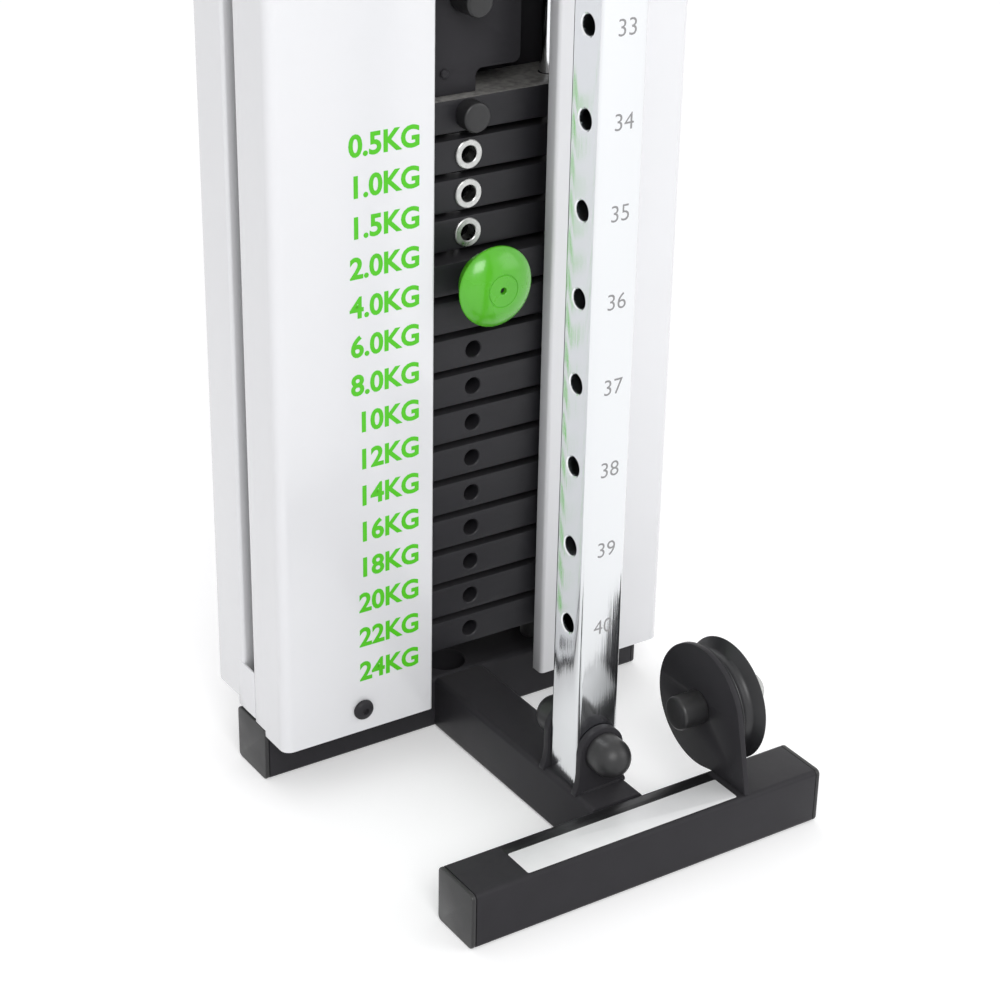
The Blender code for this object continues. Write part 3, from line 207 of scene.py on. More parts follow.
def choose_edges(piece: Piece, axis: Axis) -> None:
    """In edit mode, select only the edges that run along an axis."""
    shape = bmesh.from_edit_mesh(piece.data)
    for item in (*shape.verts, *shape.edges, *shape.faces):
        item.select_set(False)
    for edge in shape.edges:
        run = (edge.verts[1].co - edge.verts[0].co).normalized()
        if abs(run.dot(axis.unit())) > 0.999:
            edge.select_set(True)
    bmesh.update_edit_mesh(piece.data)


def block(name: str, low: Place, high: Place, edge: float = 0.0006, corner: float = 0.0,
          axis: Axis = Axis.Z) -> Piece:
    """Make a block with softened edges and, if asked, round corners along one axis.

    Args:
        name: The piece's name.
        low: The lowest corner.
        high: The highest corner.
        edge: The softening of all the edges.
        corner: The radius of the four edges along the axis.
        axis: The axis that those four edges run along.

    Returns:
        The piece.
    """
    pick()
    bpy.ops.mesh.primitive_cube_add(size=1, location=[(a + b) / 2 for a, b in zip(low, high)],
                                    scale=[b - a for a, b in zip(low, high)])
    piece = settle(bpy.context.object, name)
    if corner:
        bpy.ops.object.mode_set(mode="EDIT")
        bpy.ops.mesh.select_mode(type="EDGE")
        choose_edges(piece, axis)
        bpy.ops.mesh.bevel(offset=corner, segments=6, affect="EDGES")
        bpy.ops.object.mode_set(mode="OBJECT")
    return soften(piece, edge, 40)


def turned(name: str, profile: list[Point], place: Matrix, steps: int = 48,
           closed: bool = False) -> Piece:
    """Draw a round piece up ring by ring, as from a lathe.

    Args:
        name: The piece's name.
        profile: (radius, height) of each ring, from the first end to the last.
        place: Where the piece's axis stands.
        steps: How many sides each ring has.
        closed: Whether the last ring is bridged back to the first, as round a bore.

    Returns:
        The piece.
    """
    pick()
    radius, height = profile[0]
    bpy.ops.mesh.primitive_circle_add(vertices=steps, radius=radius, location=(0, 0, height))
    piece = settle(bpy.context.object, name)
    bpy.ops.object.mode_set(mode="EDIT")
    bpy.ops.mesh.select_mode(type="VERT")
    bpy.ops.mesh.select_all(action="SELECT")
    for wide, high in profile[1:]:
        bpy.ops.mesh.extrude_region_move(TRANSFORM_OT_translate={"value": (0, 0, high - height)})
        share = wide / radius
        bpy.ops.transform.resize(value=(share, share, 1), center_override=(0, 0, high))
        radius, height = wide, high
    if not closed:
        bpy.ops.mesh.edge_face_add()
        bpy.ops.mesh.select_all(action="DESELECT")
    shape = bmesh.from_edit_mesh(piece.data)
    shape.verts.ensure_lookup_table()
    for vert in shape.verts[:steps]:
        vert.select_set(True)
    shape.select_flush(True)
    bmesh.update_edit_mesh(piece.data)
    if closed:
        bpy.ops.mesh.bridge_edge_loops()
    else:
        bpy.ops.mesh.edge_face_add()
    bpy.ops.mesh.select_all(action="SELECT")
    bpy.ops.mesh.normals_make_consistent(inside=False)
    bpy.ops.object.mode_set(mode="OBJECT")
    piece.matrix_world = place
    return smooth(settle(piece, name))


def rod(name: str, radius: float, low: float, high: float, place: Matrix, steps: int = 32) -> Piece:
    """Return a plain round bar between two heights on a place's axis."""
    return turned(name, [(radius, low), (radius, high)], place, steps)


def cap(name: str, radius: float, length: float, edge: float, place: Matrix) -> Piece:
    """Return a cylindrical cap with a rounded end."""
    profile = [(radius - 0.0014, 0.0), (radius - 0.0003, 0.0), (radius, 0.0004)]
    profile += arc(radius - edge, length - edge, edge, 0, 84, 6) + [(radius * 0.4, length)]
    return turned(name, profile, place, 48)


def show(name: str, data: bpy.types.ID, place: Matrix | None = None) -> Piece:
    """Put data into the scene as a new object."""
    item = bpy.data.objects.new(name, data)
    bpy.context.scene.collection.objects.link(item)
    if place:
        item.matrix_world = place
    return item


def curve(name: str, loops: list[list[Point]], closed: bool, extrude: float, place: Matrix) -> Piece:
    """Return a flat curve object through loops of points, raised to both sides."""
    drawn = bpy.data.curves.new(name, "CURVE")
    drawn.dimensions = "2D"
    drawn.fill_mode = "BOTH" if closed else "NONE"
    drawn.extrude = extrude
    for loop in loops:
        spline = drawn.splines.new("POLY")
        spline.points.add(len(loop) - 1)
        for point, (x, y) in zip(spline.points, loop):
            point.co = (x, y, 0, 1)
        spline.use_cyclic_u = closed
    return show(name, drawn, place)


def to_mesh(item: Piece, name: str, weld: float = 0.0) -> Piece:
    """Turn a curve or text into a mesh, with its loose caps welded if asked."""
    pick(item)
    bpy.ops.object.convert(target="MESH")
    item = bpy.context.object
    if weld:
        bpy.ops.object.mode_set(mode="EDIT")
        bpy.ops.mesh.select_all(action="SELECT")
        bpy.ops.mesh.remove_doubles(threshold=weld)
        bpy.ops.mesh.normals_make_consistent(inside=False)
        bpy.ops.object.mode_set(mode="OBJECT")
    return settle(item, name)


def flat(name: str, axis: Axis, start: float, thickness: float, outline: list[Point],
         holes: tuple[list[Point], ...] = (), edge: float = 0.0004,
         place: Matrix = Matrix.Identity(4)) -> Piece:
    """Raise a flat outline with holes into a plate with softened edges.

    Args:
        name: The piece's name.
        axis: The axis that it is raised along.
        start: Where its first face lies on that axis.
        thickness: How thick it is.
        outline: The outline's points.
        holes: The outlines of its holes.
        edge: The softening of its edges.
        place: A matrix to place it by, if it isn't raised in the model's own frame.

    Returns:
        The piece.
    """
    shift = Matrix.Translation(axis.unit() * (start + thickness / 2))
    item = curve(name, [outline, *holes], True, thickness / 2 - edge, place @ shift @ axis.turn())
    item.data.bevel_depth = edge
    item.data.bevel_resolution = 1
    item.data.offset = -edge
    return smooth(to_mesh(item, name, 0.000002))


def folded(name: str, path: list[Point], bottom: float, top: float, sheet: float, side: int) -> Piece:
    """Raise an open path into a folded sheet.

    Args:
        name: The piece's name.
        path: The sheet's line, seen from above.
        bottom: The height of its lower edge.
        top: The height of its upper edge.
        sheet: Its thickness.
        side: -1 or 1, the side that it grows to.

    Returns:
        The piece.
    """
    middle = Matrix.Translation((0, 0, (top + bottom) / 2))
    piece = to_mesh(curve(name, [path], False, (top - bottom) / 2, middle), name)
    modify(piece, "SOLIDIFY", thickness=sheet, offset=side, use_even_offset=True)
    return soften(piece, 0.00025, 50)


def carve(piece: Piece, tool: Piece, operation: str = "DIFFERENCE") -> Piece:
    """Cut a tool out of a piece, or join it on, and throw the tool away."""
    modify(piece, "BOOLEAN", object=tool, operation=operation, solver="EXACT")
    bpy.data.objects.remove(tool, do_unlink=True)
    return piece


def gather(name: str, pieces: list[Piece]) -> Piece:
    """Join pieces into one object."""
    pick()
    for piece in pieces:
        piece.select_set(True)
    bpy.context.view_layer.objects.active = pieces[0]
    bpy.ops.object.join()
    return rename(pieces[0], name)


def copied(piece: Piece, name: str, rise: float) -> Piece:
    """Return a copy with its own mesh, moved up."""
    twin = show(name, piece.data.copy())
    twin.data.transform(Matrix.Translation((0, 0, rise)))
    return rename(twin, name)


def drill_row(piece: Piece, drill: Piece, count: int, pitch: float) -> Piece:
    """Cut a row of like holes, from the lowest one up."""
    drills = [drill, *(copied(drill, f"{drill.name}_{i}", i * pitch) for i in range(1, count))]
    return smooth(carve(piece, gather("drills", drills)), 25)


@dataclass(frozen=True)
class Figures:
    """A style of thin raised figures on a face that looks to the front."""

    height: float
    weight: float
    align: str
    relief: float

    def set(self, words: str, place: Place) -> Piece:
        """Return a short line of figures, anchored at a place."""
        pick()
        bpy.ops.object.text_add()
        item = bpy.context.object
        item.data.body = words
        item.data.size = self.height / 0.729  # a capital's share of the font's size
        item.data.offset = self.weight
        item.data.extrude = self.relief / 2
        item.data.align_x = self.align
        item.data.align_y = "CENTER"
        item.data.resolution_u = 4
        item.matrix_world = Matrix.Translation(place) @ Matrix.Rotation(math.pi / 2, 4, "X")
        return to_mesh(item, "mark", 0.0000005)


class Graph:
    """A node tree under construction, with short calls for its nodes."""

    def __init__(self, tree: bpy.types.NodeTree) -> None:
        """Work on a tree."""
        self.tree = tree

    def set(self, socket: bpy.types.NodeSocket, value: object) -> None:
        """Link an output to a socket, or give the socket a value."""
        if hasattr(value, "is_output"):
            self.tree.links.new(value, socket)
        else:
            socket.default_value = value

    def add(self, kind: str, **values: object) -> bpy.types.Node:
        """Add a node and set its inputs, or its own settings, by name.

        Args:
            kind: The node's type, without ShaderNode.
            **values: Input sockets, spaces written as underscores, or settings of the node.

        Returns:
            The node.
        """
        item = self.tree.nodes.new("ShaderNode" + kind)
        for key, value in values.items():
            socket = key.replace("_", " ")
            if socket in item.inputs:
                self.set(item.inputs[socket], value)
            else:
                setattr(item, key, value)
        return item

    def math(self, operation: str, a: object, b: object) -> bpy.types.NodeSocket:
        """Add a math node on two values or sockets, and return its output."""
        item = self.add("Math", operation=operation)
        for socket, value in zip(item.inputs, (a, b)):
            self.set(socket, value)
        return item.outputs[0]

    def blend(self, share: object, a: object, b: object) -> bpy.types.NodeSocket:
        """Add a mix of two colours, and return its output."""
        item = self.add("Mix", data_type="RGBA")
        for socket, value in ((0, share), (6, a), (7, b)):
            self.set(item.inputs[socket], value)
        return item.outputs[2]

    def seen(self) -> bpy.types.NodeSocket:
        """Return 1 for rays from the camera, from mirrors and through glass, and 0 for the rest."""
        rays = self.add("LightPath").outputs
        mirrored = self.math("MAXIMUM", rays["Is Camera Ray"], rays["Is Glossy Ray"])
        return self.math("MAXIMUM", mirrored, rays["Is Transmission Ray"])


class Group(Graph):
    """A shader group that more than one finish uses."""

    def __init__(self, name: str, output: str, **inputs: float) -> None:
        """Start a group on the surface's own place, with one output."""
        super().__init__(bpy.data.node_groups.new(name, "ShaderNodeTree"))
        face = self.tree.interface
        face.new_socket("Vector", in_out="INPUT", socket_type="NodeSocketVector")
        for label, value in inputs.items():
            face.new_socket(label, in_out="INPUT", socket_type="NodeSocketFloat").default_value = value
        face.new_socket(output, in_out="OUTPUT", socket_type="NodeSocketFloat")
        self.begin = self.tree.nodes.new("NodeGroupInput").outputs
        self.end = self.tree.nodes.new("NodeGroupOutput").inputs[output]

    def noise(self, scale: object, detail: float) -> bpy.types.NodeSocket:
        """Add a noise texture on the group's vector, and return its output."""
        texture = self.add("TexNoise", Vector=self.begin["Vector"], Scale=scale, Detail=detail)
        return texture.outputs["Fac"]

    @staticmethod
    @functools.cache
    def grain() -> bpy.types.NodeTree:
        """Return the fine orange peel of a coated or moulded skin."""
        group = Group("coat_grain", "Height", Scale=900, Broad=0.3)
        scale = group.begin["Scale"]
        wide = group.noise(group.math("MULTIPLY", scale, 0.12), 1)
        broad = group.math("MULTIPLY", wide, group.begin["Broad"])
        group.set(group.end, group.math("ADD", group.noise(scale, 2), broad))
        return group.tree

    @staticmethod
    @functools.cache
    def smudge() -> bpy.types.NodeTree:
        """Return the gloss that handling has made uneven."""
        group = Group("handled_gloss", "Value", Scale=14, Low=0.3, High=0.4)
        span = group.add("MapRange", Value=group.noise(group.begin["Scale"], 5), From_Min=0.35,
                         From_Max=0.68, To_Min=group.begin["Low"], To_Max=group.begin["High"])
        group.set(group.end, span.outputs[0])
        return group.tree

    @staticmethod
    @functools.cache
    def dust_and_sheen() -> bpy.types.NodeTree:
        """Return a pale dusty film on what faces up, which at full amount is a painted highlight."""
        group = Group("dust_and_painted_sheen", "Mask", Amount=0.1)
        normal = group.add("NewGeometry").outputs["Normal"]
        rise = group.add("SeparateXYZ", Vector=normal).outputs["Z"]
        up = group.math("POWER", group.math("MAXIMUM", rise, 0.0), 3.0)
        patchy = group.math("MULTIPLY", up, group.noise(260.0, 6))
        group.set(group.end, group.math("MULTIPLY", patchy, group.begin["Amount"]))
        return group.tree


# Pale colour of the dusty film, also used as a painted highlight on the head plate's top.
DUST_AND_SHEEN_COLOUR = (0.42, 0.41, 0.39, 1)


@dataclass(frozen=True)
class Finish:
    """A finish with the record's slot that it fills, and its colour, gloss, grain and dusty film, which
    at full amount paints a highlight on top faces.
    """

    name: str
    slot: str
    colour: Place
    roughness: float
    metallic: float = 0.0
    spread: float = 0.05
    patch: float = 14.0
    grain: float = 1500.0
    height: float = 0.00004
    broad: float = 0.3
    dust_and_sheen: float = 0.0
    mottle: float = 0.0
    coat: float = 0.0
    shine: float = 0.5

    @functools.cache
    def build(self) -> bpy.types.Material:
        """Return the finish as a material, built once."""
        material = bpy.data.materials.new(self.name)
        material.use_nodes = True
        material.diffuse_color = (*self.colour, 1)
        graph = Graph(material.node_tree)
        where = graph.add("TexCoord").outputs["Object"]
        gloss = graph.add("Group", node_tree=Group.smudge(), Vector=where, Scale=self.patch,
                          Low=max(self.roughness - self.spread, 0.02),
                          High=self.roughness + self.spread)
        bump = graph.add("Bump", Strength=1.0, Distance=self.height, Height=self.relief(graph, where))
        surface = graph.tree.nodes["Principled BSDF"].inputs
        for label, value in (("Base Color", (*self.colour, 1)), ("Base Color", self.tone(graph, where)),
                             ("Roughness", self.roughness), ("Roughness", gloss.outputs["Value"]),
                             ("Metallic", self.metallic), ("Specular IOR Level", self.shine),
                             ("Coat Weight", self.coat), ("Coat Roughness", 0.05),
                             ("Normal", bump.outputs["Normal"])):
            graph.set(surface[label], value)
        return material

    def relief(self, graph: Graph, where: bpy.types.NodeSocket) -> bpy.types.NodeSocket:
        """Return the height of the surface's grain."""
        return graph.add("Group", node_tree=Group.grain(), Vector=where, Scale=self.grain,
                         Broad=self.broad).outputs["Height"]

    def tone(self, graph: Graph, where: bpy.types.NodeSocket) -> object:
        """Return the colour, varied a little over the surface, with the dusty film on it, a painted
        highlight where its amount is full.
        """
        colour = (*self.colour, 1)
        if self.mottle:
            cloud = graph.add("TexNoise", Vector=where, Scale=self.patch * 3, Detail=4.0)
            dim = (*(c * (1 - self.mottle) for c in self.colour), 1)
            lit = (*(min(c * (1 + self.mottle), 1) for c in self.colour), 1)
            colour = graph.blend(cloud.outputs["Fac"], dim, lit)
        # A dusty film on faces that look up; at full amount it paints a highlight there.
        if self.dust_and_sheen:
            dust_and_sheen_mask = graph.add("Group", node_tree=Group.dust_and_sheen(), Vector=where, Amount=self.dust_and_sheen)
            colour = graph.blend(dust_and_sheen_mask.outputs["Mask"], colour, DUST_AND_SHEEN_COLOUR)
        return colour


@dataclass(frozen=True)
class Drawn(Finish):
    """A finish with fine lines along one axis, from drawing or grinding."""

    lines: Place = (1.0, 1.0, 0.02)

    def relief(self, graph: Graph, where: bpy.types.NodeSocket) -> bpy.types.NodeSocket:
        """Return the height of the drawn lines."""
        stretched = graph.add("Mapping", Vector=where, Scale=self.lines).outputs["Vector"]
        return graph.add("TexNoise", Vector=stretched, Scale=self.grain, Detail=3.0).outputs["Fac"]


PLATE_COLOUR = (0.017, 0.0165, 0.0195)


class Coat(Enum):
    """All the finishes of the tower."""

    BLACK = Finish("black_coat", "black_coat", (0.031, 0.030, 0.0335), 0.38, spread=0.07, grain=1300,
                   height=0.00003, dust_and_sheen=0.02, mottle=0.12, shine=0.10)
    WHITE = Finish("white_coat", "white_coat", (0.80, 0.803, 0.825), 0.22, patch=5, grain=420,
                   height=0.000012, broad=0.8, mottle=0.012, coat=0.35)
    CHROME = Drawn("chrome", "chrome", (0.79, 0.805, 0.82), 0.13, 1.0, spread=0.04, patch=9, grain=900,
                   lines=(1.0, 1.0, 0.004), height=0.00006)
    STEEL = Drawn("bright_steel", "steel", (0.52, 0.52, 0.53), 0.24, 1.0, spread=0.06, patch=20,
                  height=0.000003, mottle=0.06)
    ZINC = Finish("zinc_plate", "zinc", (0.55, 0.555, 0.545), 0.34, 1.0, spread=0.10, patch=160,
                  mottle=0.22)
    PLATE = Finish("plate_steel", "plate_steel", PLATE_COLOUR, 0.44, spread=0.07, patch=22, broad=0.5,
                   dust_and_sheen=0.04, mottle=0.16, shine=0.3)
    # The head plate: the dusty film at full amount paints a pale highlight on its top, where light
    # falls into the shaft.
    PAINTED_SHEEN_PLATE = Finish("plate_painted_sheen", "plate_aluminium", PLATE_COLOUR, 0.40, spread=0.07, patch=22,
                         broad=0.5, dust_and_sheen=1.0, mottle=0.16, shine=0.3)
    RUBBER = Finish("black_rubber", "rubber", (0.012, 0.012, 0.013), 0.62, spread=0.08, patch=30,
                    grain=1800, height=0.00005, dust_and_sheen=0.10, mottle=0.15)
    PLASTIC = Finish("black_plastic", "black_plastic", (0.016, 0.016, 0.017), 0.40, spread=0.07,
                     patch=34, grain=2000, height=0.00003, dust_and_sheen=0.05, mottle=0.10)
    NYLON = Drawn("pulley_plastic", "nylon", (0.020, 0.020, 0.022), 0.38, spread=0.06, patch=30,
                  grain=1400, lines=(1.0, 1.0, 1.0), height=0.00001, mottle=0.12)
    GREEN = Finish("green_plastic", "green_plastic", (0.085, 0.450, 0.013), 0.27, patch=40,
                   height=0.000012, mottle=0.03, coat=0.25)
    PRINT_GREEN = Finish("green_print", "white_coat", (0.080, 0.540, 0.008), 0.42, spread=0.04,
                         patch=60, grain=900, height=0.000004, mottle=0.04)
    PRINT_GREY = Finish("etched_grey", "chrome", (0.26, 0.26, 0.265), 0.55, patch=60, grain=2500,
                        height=0.000004, mottle=0.06)
    LABEL = Finish("label_film", "white_coat", (0.82, 0.825, 0.83), 0.34, patch=40, grain=1200,
                   height=0.000006, mottle=0.03)
    LABEL_BLACK = Finish("label_band", "black_coat", (0.012, 0.012, 0.013), 0.36, patch=40, grain=1200,
                         height=0.000006, mottle=0.05)
    # A near-black disc that paints the shade at the bottom of the knob's centre hole.
    SHADOW = Finish("painted_shade_black", "green_plastic", (0.004, 0.004, 0.004), 0.75, grain=900,
                    height=0.00002, mottle=0.1)

    def cover(self, piece: Piece) -> None:
        """Give a piece this finish alone."""
        piece.data.materials.clear()
        piece.data.materials.append(self.value.build())


def dress(piece: Piece, coat: Coat, body: str, node: str = "") -> None:
    """Give a piece its finish, and hang it on its body.

    Args:
        piece: The piece. One named NODE_skin stands for that node of the CAD.
        coat: Its finish.
        body: The body that it rides on.
        node: The CAD node that it stands for, where its name doesn't say it.
    """
    coat.cover(piece)
    if piece.name.endswith("_skin"):
        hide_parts(node or piece.name.removesuffix("_skin"))
    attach(piece, body)
    LOG.info("%s on %s", piece.name, body)


@dataclass(frozen=True)
class Wheel:
    """A grooved wheel on a plain bore."""

    rim: float
    groove: float
    width: float
    bore: float

    def build(self, name: str, place: Matrix, body: str) -> None:
        """Make the wheel on its body, with its middle plane at a place."""
        half = self.width / 2
        web = half * 0.55
        hub = self.bore + 0.005
        waist = self.groove - 0.004
        lip = 0.0009
        profile = [
            (self.bore, half - 0.0004), (self.bore + 0.0004, half), (hub - 0.0006, half),
            (hub, half - 0.0006), (hub + 0.0008, web + 0.0008), (hub + 0.0018, web),
            (waist - 0.002, web), (waist - 0.0006, web + 0.0004), (waist, web + 0.0012),
            (self.rim - 0.0042, half - 0.0007), (self.rim - 0.0034, half), (self.rim - lip, half),
            (self.rim - 0.0002, half - 0.0004), (self.rim, half - lip),
            (self.rim - 0.0006, half - 0.0014), (self.groove + 0.0016, 0.0040),
            (self.groove + 0.0004, 0.0026), (self.groove, 0.0)]
        mirrored = [(radius, -height) for radius, height in reversed(profile[:-1])]
        dress(turned(name, profile + mirrored, place, 72, closed=True), Coat.NYLON, body)


@dataclass(frozen=True)
class HexBolt:
    """A hexagon bolt with a washer face, its nut, and the radius of its holes."""

    shank: float
    corner: float
    head: float
    nut: float
    hole: float

    def build(self, name: str, place: Matrix, grip: float) -> Piece:
        """Return the bolt: its head ends at the place, and its nut starts past the grip."""
        turn = place @ Matrix.Rotation(math.pi / 6, 4, "Z")
        end = grip + self.nut
        thread = self.shank * 0.96
        shank = [(thread, -0.001), (thread, end - 0.0006), (self.shank * 0.8, end)]
        return gather(name, [self.hexagon(-self.head, 0.0, turn, True),
                             self.hexagon(grip, end - 0.0015, turn, False),
                             turned(name, shank, place, 32)])

    def hexagon(self, low: float, high: float, place: Matrix, head: bool) -> Piece:
        """Return a hexagon with its corners turned down, as on a rolled head or nut."""
        body = rod("hexagon", self.corner, low, high, place, 6)
        narrow, wide = self.corner * 0.87 * 0.97, self.corner * 1.01
        rise = (high - low) * 0.16
        top = [(wide, high)] if head else [(wide, high - rise), (narrow, high)]
        cone = turned("cone", [(narrow, low), (wide, low + rise), *top], place, 48)
        return smooth(carve(body, cone, "INTERSECT"), 20)


M10 = HexBolt(0.005, 0.0092, 0.0064, 0.008, 0.0053)
M8 = HexBolt(0.004, 0.0075, 0.0053, 0.0065, 0.0043)


@dataclass
class Tower:
    """The sizes and places that the sub-assemblies share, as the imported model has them."""

    gap: float = 0.0003
    beside_wheel: float = 0.0008
    tube: float = 0.038
    tube_corner: float = 0.0035
    sheet: float = 0.0012
    front_y: float = -0.1476
    rear_y: float = 0.0754
    back_y: float = 0.1431
    wall_y: float = 0.1476
    cover_y: float = 0.0487
    column_y: float = -0.0706
    column_half: float = 0.015
    stack_y: float = 0.0934
    rod_x: float = 0.0725
    row_pitch: float = 0.025
    row_thick: float = 0.0205
    lowest_row: float = 0.0775
    foot_z: float = 0.0648
    ear_sheet: float = 0.005
    top_z: float = 2.267
    carriage_z: float = 1.0945
    wheel_x: float = 0.0843
    swivel_y: float = -0.0611

    def post(self, name: str, half: float, low: float, high: float, edge: float,
             corner: float) -> Piece:
        """Return an upright square block on the column's axis."""
        return block(name, (-half, self.column_y - half, low), (half, self.column_y + half, high),
                     edge, corner)

    def bar(self, name: str, low_x: float, high_x: float, y: float, edge: float) -> Piece:
        """Return a stretch of the floor frame's tube, from left to right."""
        return block(name, (low_x, y, 0), (high_x, y + self.tube, self.tube), edge, self.tube_corner,
                     Axis.X)


@dataclass
class BaseFrame(Tower):
    """The floor frame, its end caps, ears and blank label."""

    rear_half: float = 0.1475
    front_half: float = 0.130
    flange: float = 0.003
    ear: float = 0.016
    stem_hole: float = 0.0138
    label_x: Point = (-0.089, 0.066)
    label_margin: float = 0.0034
    label_split: float = 0.0260
    film: float = 0.00018

    def build(self) -> None:
        """Make every piece of the floor frame."""
        self.bars()
        self.spine()
        self.caps()
        self.label()

    def bars(self) -> None:
        """Make the two cross tubes, with the lower cover strips on the rear one."""
        inset = self.flange + self.gap
        rear = self.bar("rear_bar", inset - self.rear_half, self.rear_half - inset, self.rear_y, 0.0003)
        hole = self.stem_hole
        profile = [(hole, 0.004), (hole, self.tube - 0.0006), (hole + 0.0008, self.tube + 0.0005)]
        drill = turned("drill", profile, Matrix.Translation((0, self.stack_y, 0)), 40)
        smooth(carve(rear, drill))
        dress(gather("base_rear_bar_skin", [rear, *CoverStrips().pieces(self.tube, 1)]), Coat.BLACK,
              "frame")
        dress(self.bar("base_front_bar_skin", inset - self.front_half, self.front_half - inset,
                       self.front_y, 0.0003), Coat.BLACK, "frame")

    def spine(self) -> None:
        """Make the middle tube, with the ears that hold the column's foot."""
        middle = self.tube / 2
        pieces = [block("spine", (-middle, self.front_y + self.tube + self.gap, 0),
                        (middle, self.rear_y - self.gap, self.tube), 0.0002, self.tube_corner, Axis.Y)]
        flare = [(middle, -0.001), (middle, 0.0008), (middle - 0.0009, 0.0026),
                 (middle - 0.0018, 0.0052), (middle - 0.0025, 0.0084), (self.ear, 0.0130)]
        outline = [(x, self.tube + z) for x, z in flare] + arc(0, self.foot_z, self.ear, 0, 180, 32)
        outline += [(-x, self.tube + z) for x, z in reversed(flare)]
        near = self.column_half + self.gap
        far = near + self.ear_sheet
        for start in (self.column_y - far, self.column_y + near):
            pieces.append(flat("ear", Axis.Y, start, self.ear_sheet, outline,
                               (ring(0, self.foot_z, M10.hole),)))
        pieces += [self.bead(self.column_y - far), self.bead(self.column_y + far)]
        dress(gather("base_spine_skin", pieces), Coat.BLACK, "frame")

    def bead(self, y: float) -> Piece:
        """Return the weld bead along the foot of an ear."""
        half, count = self.ear - 0.001, 26
        profile = [(0.0013 + 0.00022 * math.sin(i * 1.9), 2 * half * i / count)
                   for i in range(1, count)]
        return turned("bead", [(0.0004, 0.0), *profile, (0.0004, 2 * half)],
                      aim((-half, y, self.tube + 0.0004), RIGHT), 10)

    def caps(self) -> None:
        """Make the four end caps, with a soft edge round each face."""
        bars = (("rear", self.rear_y, self.rear_half), ("front", self.front_y, self.front_half))
        for bar, y, half in bars:
            for hand, side in HANDS:
                low, high = sorted((side * (half - self.flange), side * half))
                end = self.bar(f"{bar}_cap_{hand}_skin", low, high, y, 0.0009)
                dress(end, Coat.PLASTIC, "frame", f"{bar}_bar_cap_{hand}")

    def label(self) -> None:
        """Make the two-tone label on the front bar, left bare."""
        (left, right), margin, split = self.label_x, self.label_margin, self.label_split
        z = self.tube + 0.0001
        fields = (("label_field", Coat.LABEL, margin, split),
                  ("label_band", Coat.LABEL_BLACK, split + 0.0001, self.tube - margin))
        for name, coat, near, far in fields:
            low, high = (left, self.front_y + near, z), (right, self.front_y + far, z + self.film)
            dress(block(name, low, high, 0.00004, 0.0012), coat, "frame")


@dataclass
class CoverStrips(Tower):
    """The bent strips that the covers are screwed to."""

    strip: float = 0.002
    above: float = 0.0123
    half: float = 0.007
    bracket_x: float = 0.0897

    def pieces(self, z: float, rise: int, rear_tab: bool = True) -> list[Piece]:
        """Return both strips and their screws at the bottom or the top.

        Args:
            z: The height of the face that the strips are welded to.
            rise: 1 where they stand up from it, -1 where they hang down.
            rear_tab: Whether they are bent and screwed at the back too.

        Returns:
            The pieces.
        """
        made: list[Piece] = []
        front = self.cover_y + self.sheet + self.gap + self.strip / 2
        back = self.back_y - self.sheet - self.gap
        middle = z + rise * self.strip / 2
        tab = z + rise * (2 * self.above - 2 * self.strip)
        rear = back - self.strip / 2
        end = [(rear, middle), (rear, tab)] if rear_tab else [(back, middle)]
        line = bend([(front, tab), (front, middle), *end], [0.002, 0.002], 6)
        screws = ((self.cover_y - self.gap, FRONT), (self.back_y + self.gap, BACK))
        for x in (-self.bracket_x, self.bracket_x):
            place = Matrix.Translation((x, 0, 0)) @ Axis.X.turn()
            piece = to_mesh(curve("strip", [line], False, self.half, place), "strip")
            modify(piece, "SOLIDIFY", thickness=self.strip * 0.98, offset=0)
            made.append(soften(piece, 0.0003, 50))
            for y, way in screws if rear_tab else screws[:1]:
                made.append(self.screw(aim((x, y, z + rise * self.above), way)))
        return made

    @staticmethod
    def screw(stand: Matrix) -> Piece:
        """Return a button-head screw with a hexagon socket."""
        dome = [(0.0030, -0.009), (0.0030, -0.0001), (0.0066, 0.0), (0.0070, 0.0003), (0.0070, 0.0007)]
        dome += [(0.0070 * x, 0.0007 + 0.0034 * y) for x, y in arc(0, 0, 1, 10, 70, 6)]
        return smooth(carve(turned("screw", dome, stand, 40),
                            rod("socket", 0.0024, 0.0020, 0.0060, stand, 6)), 28)


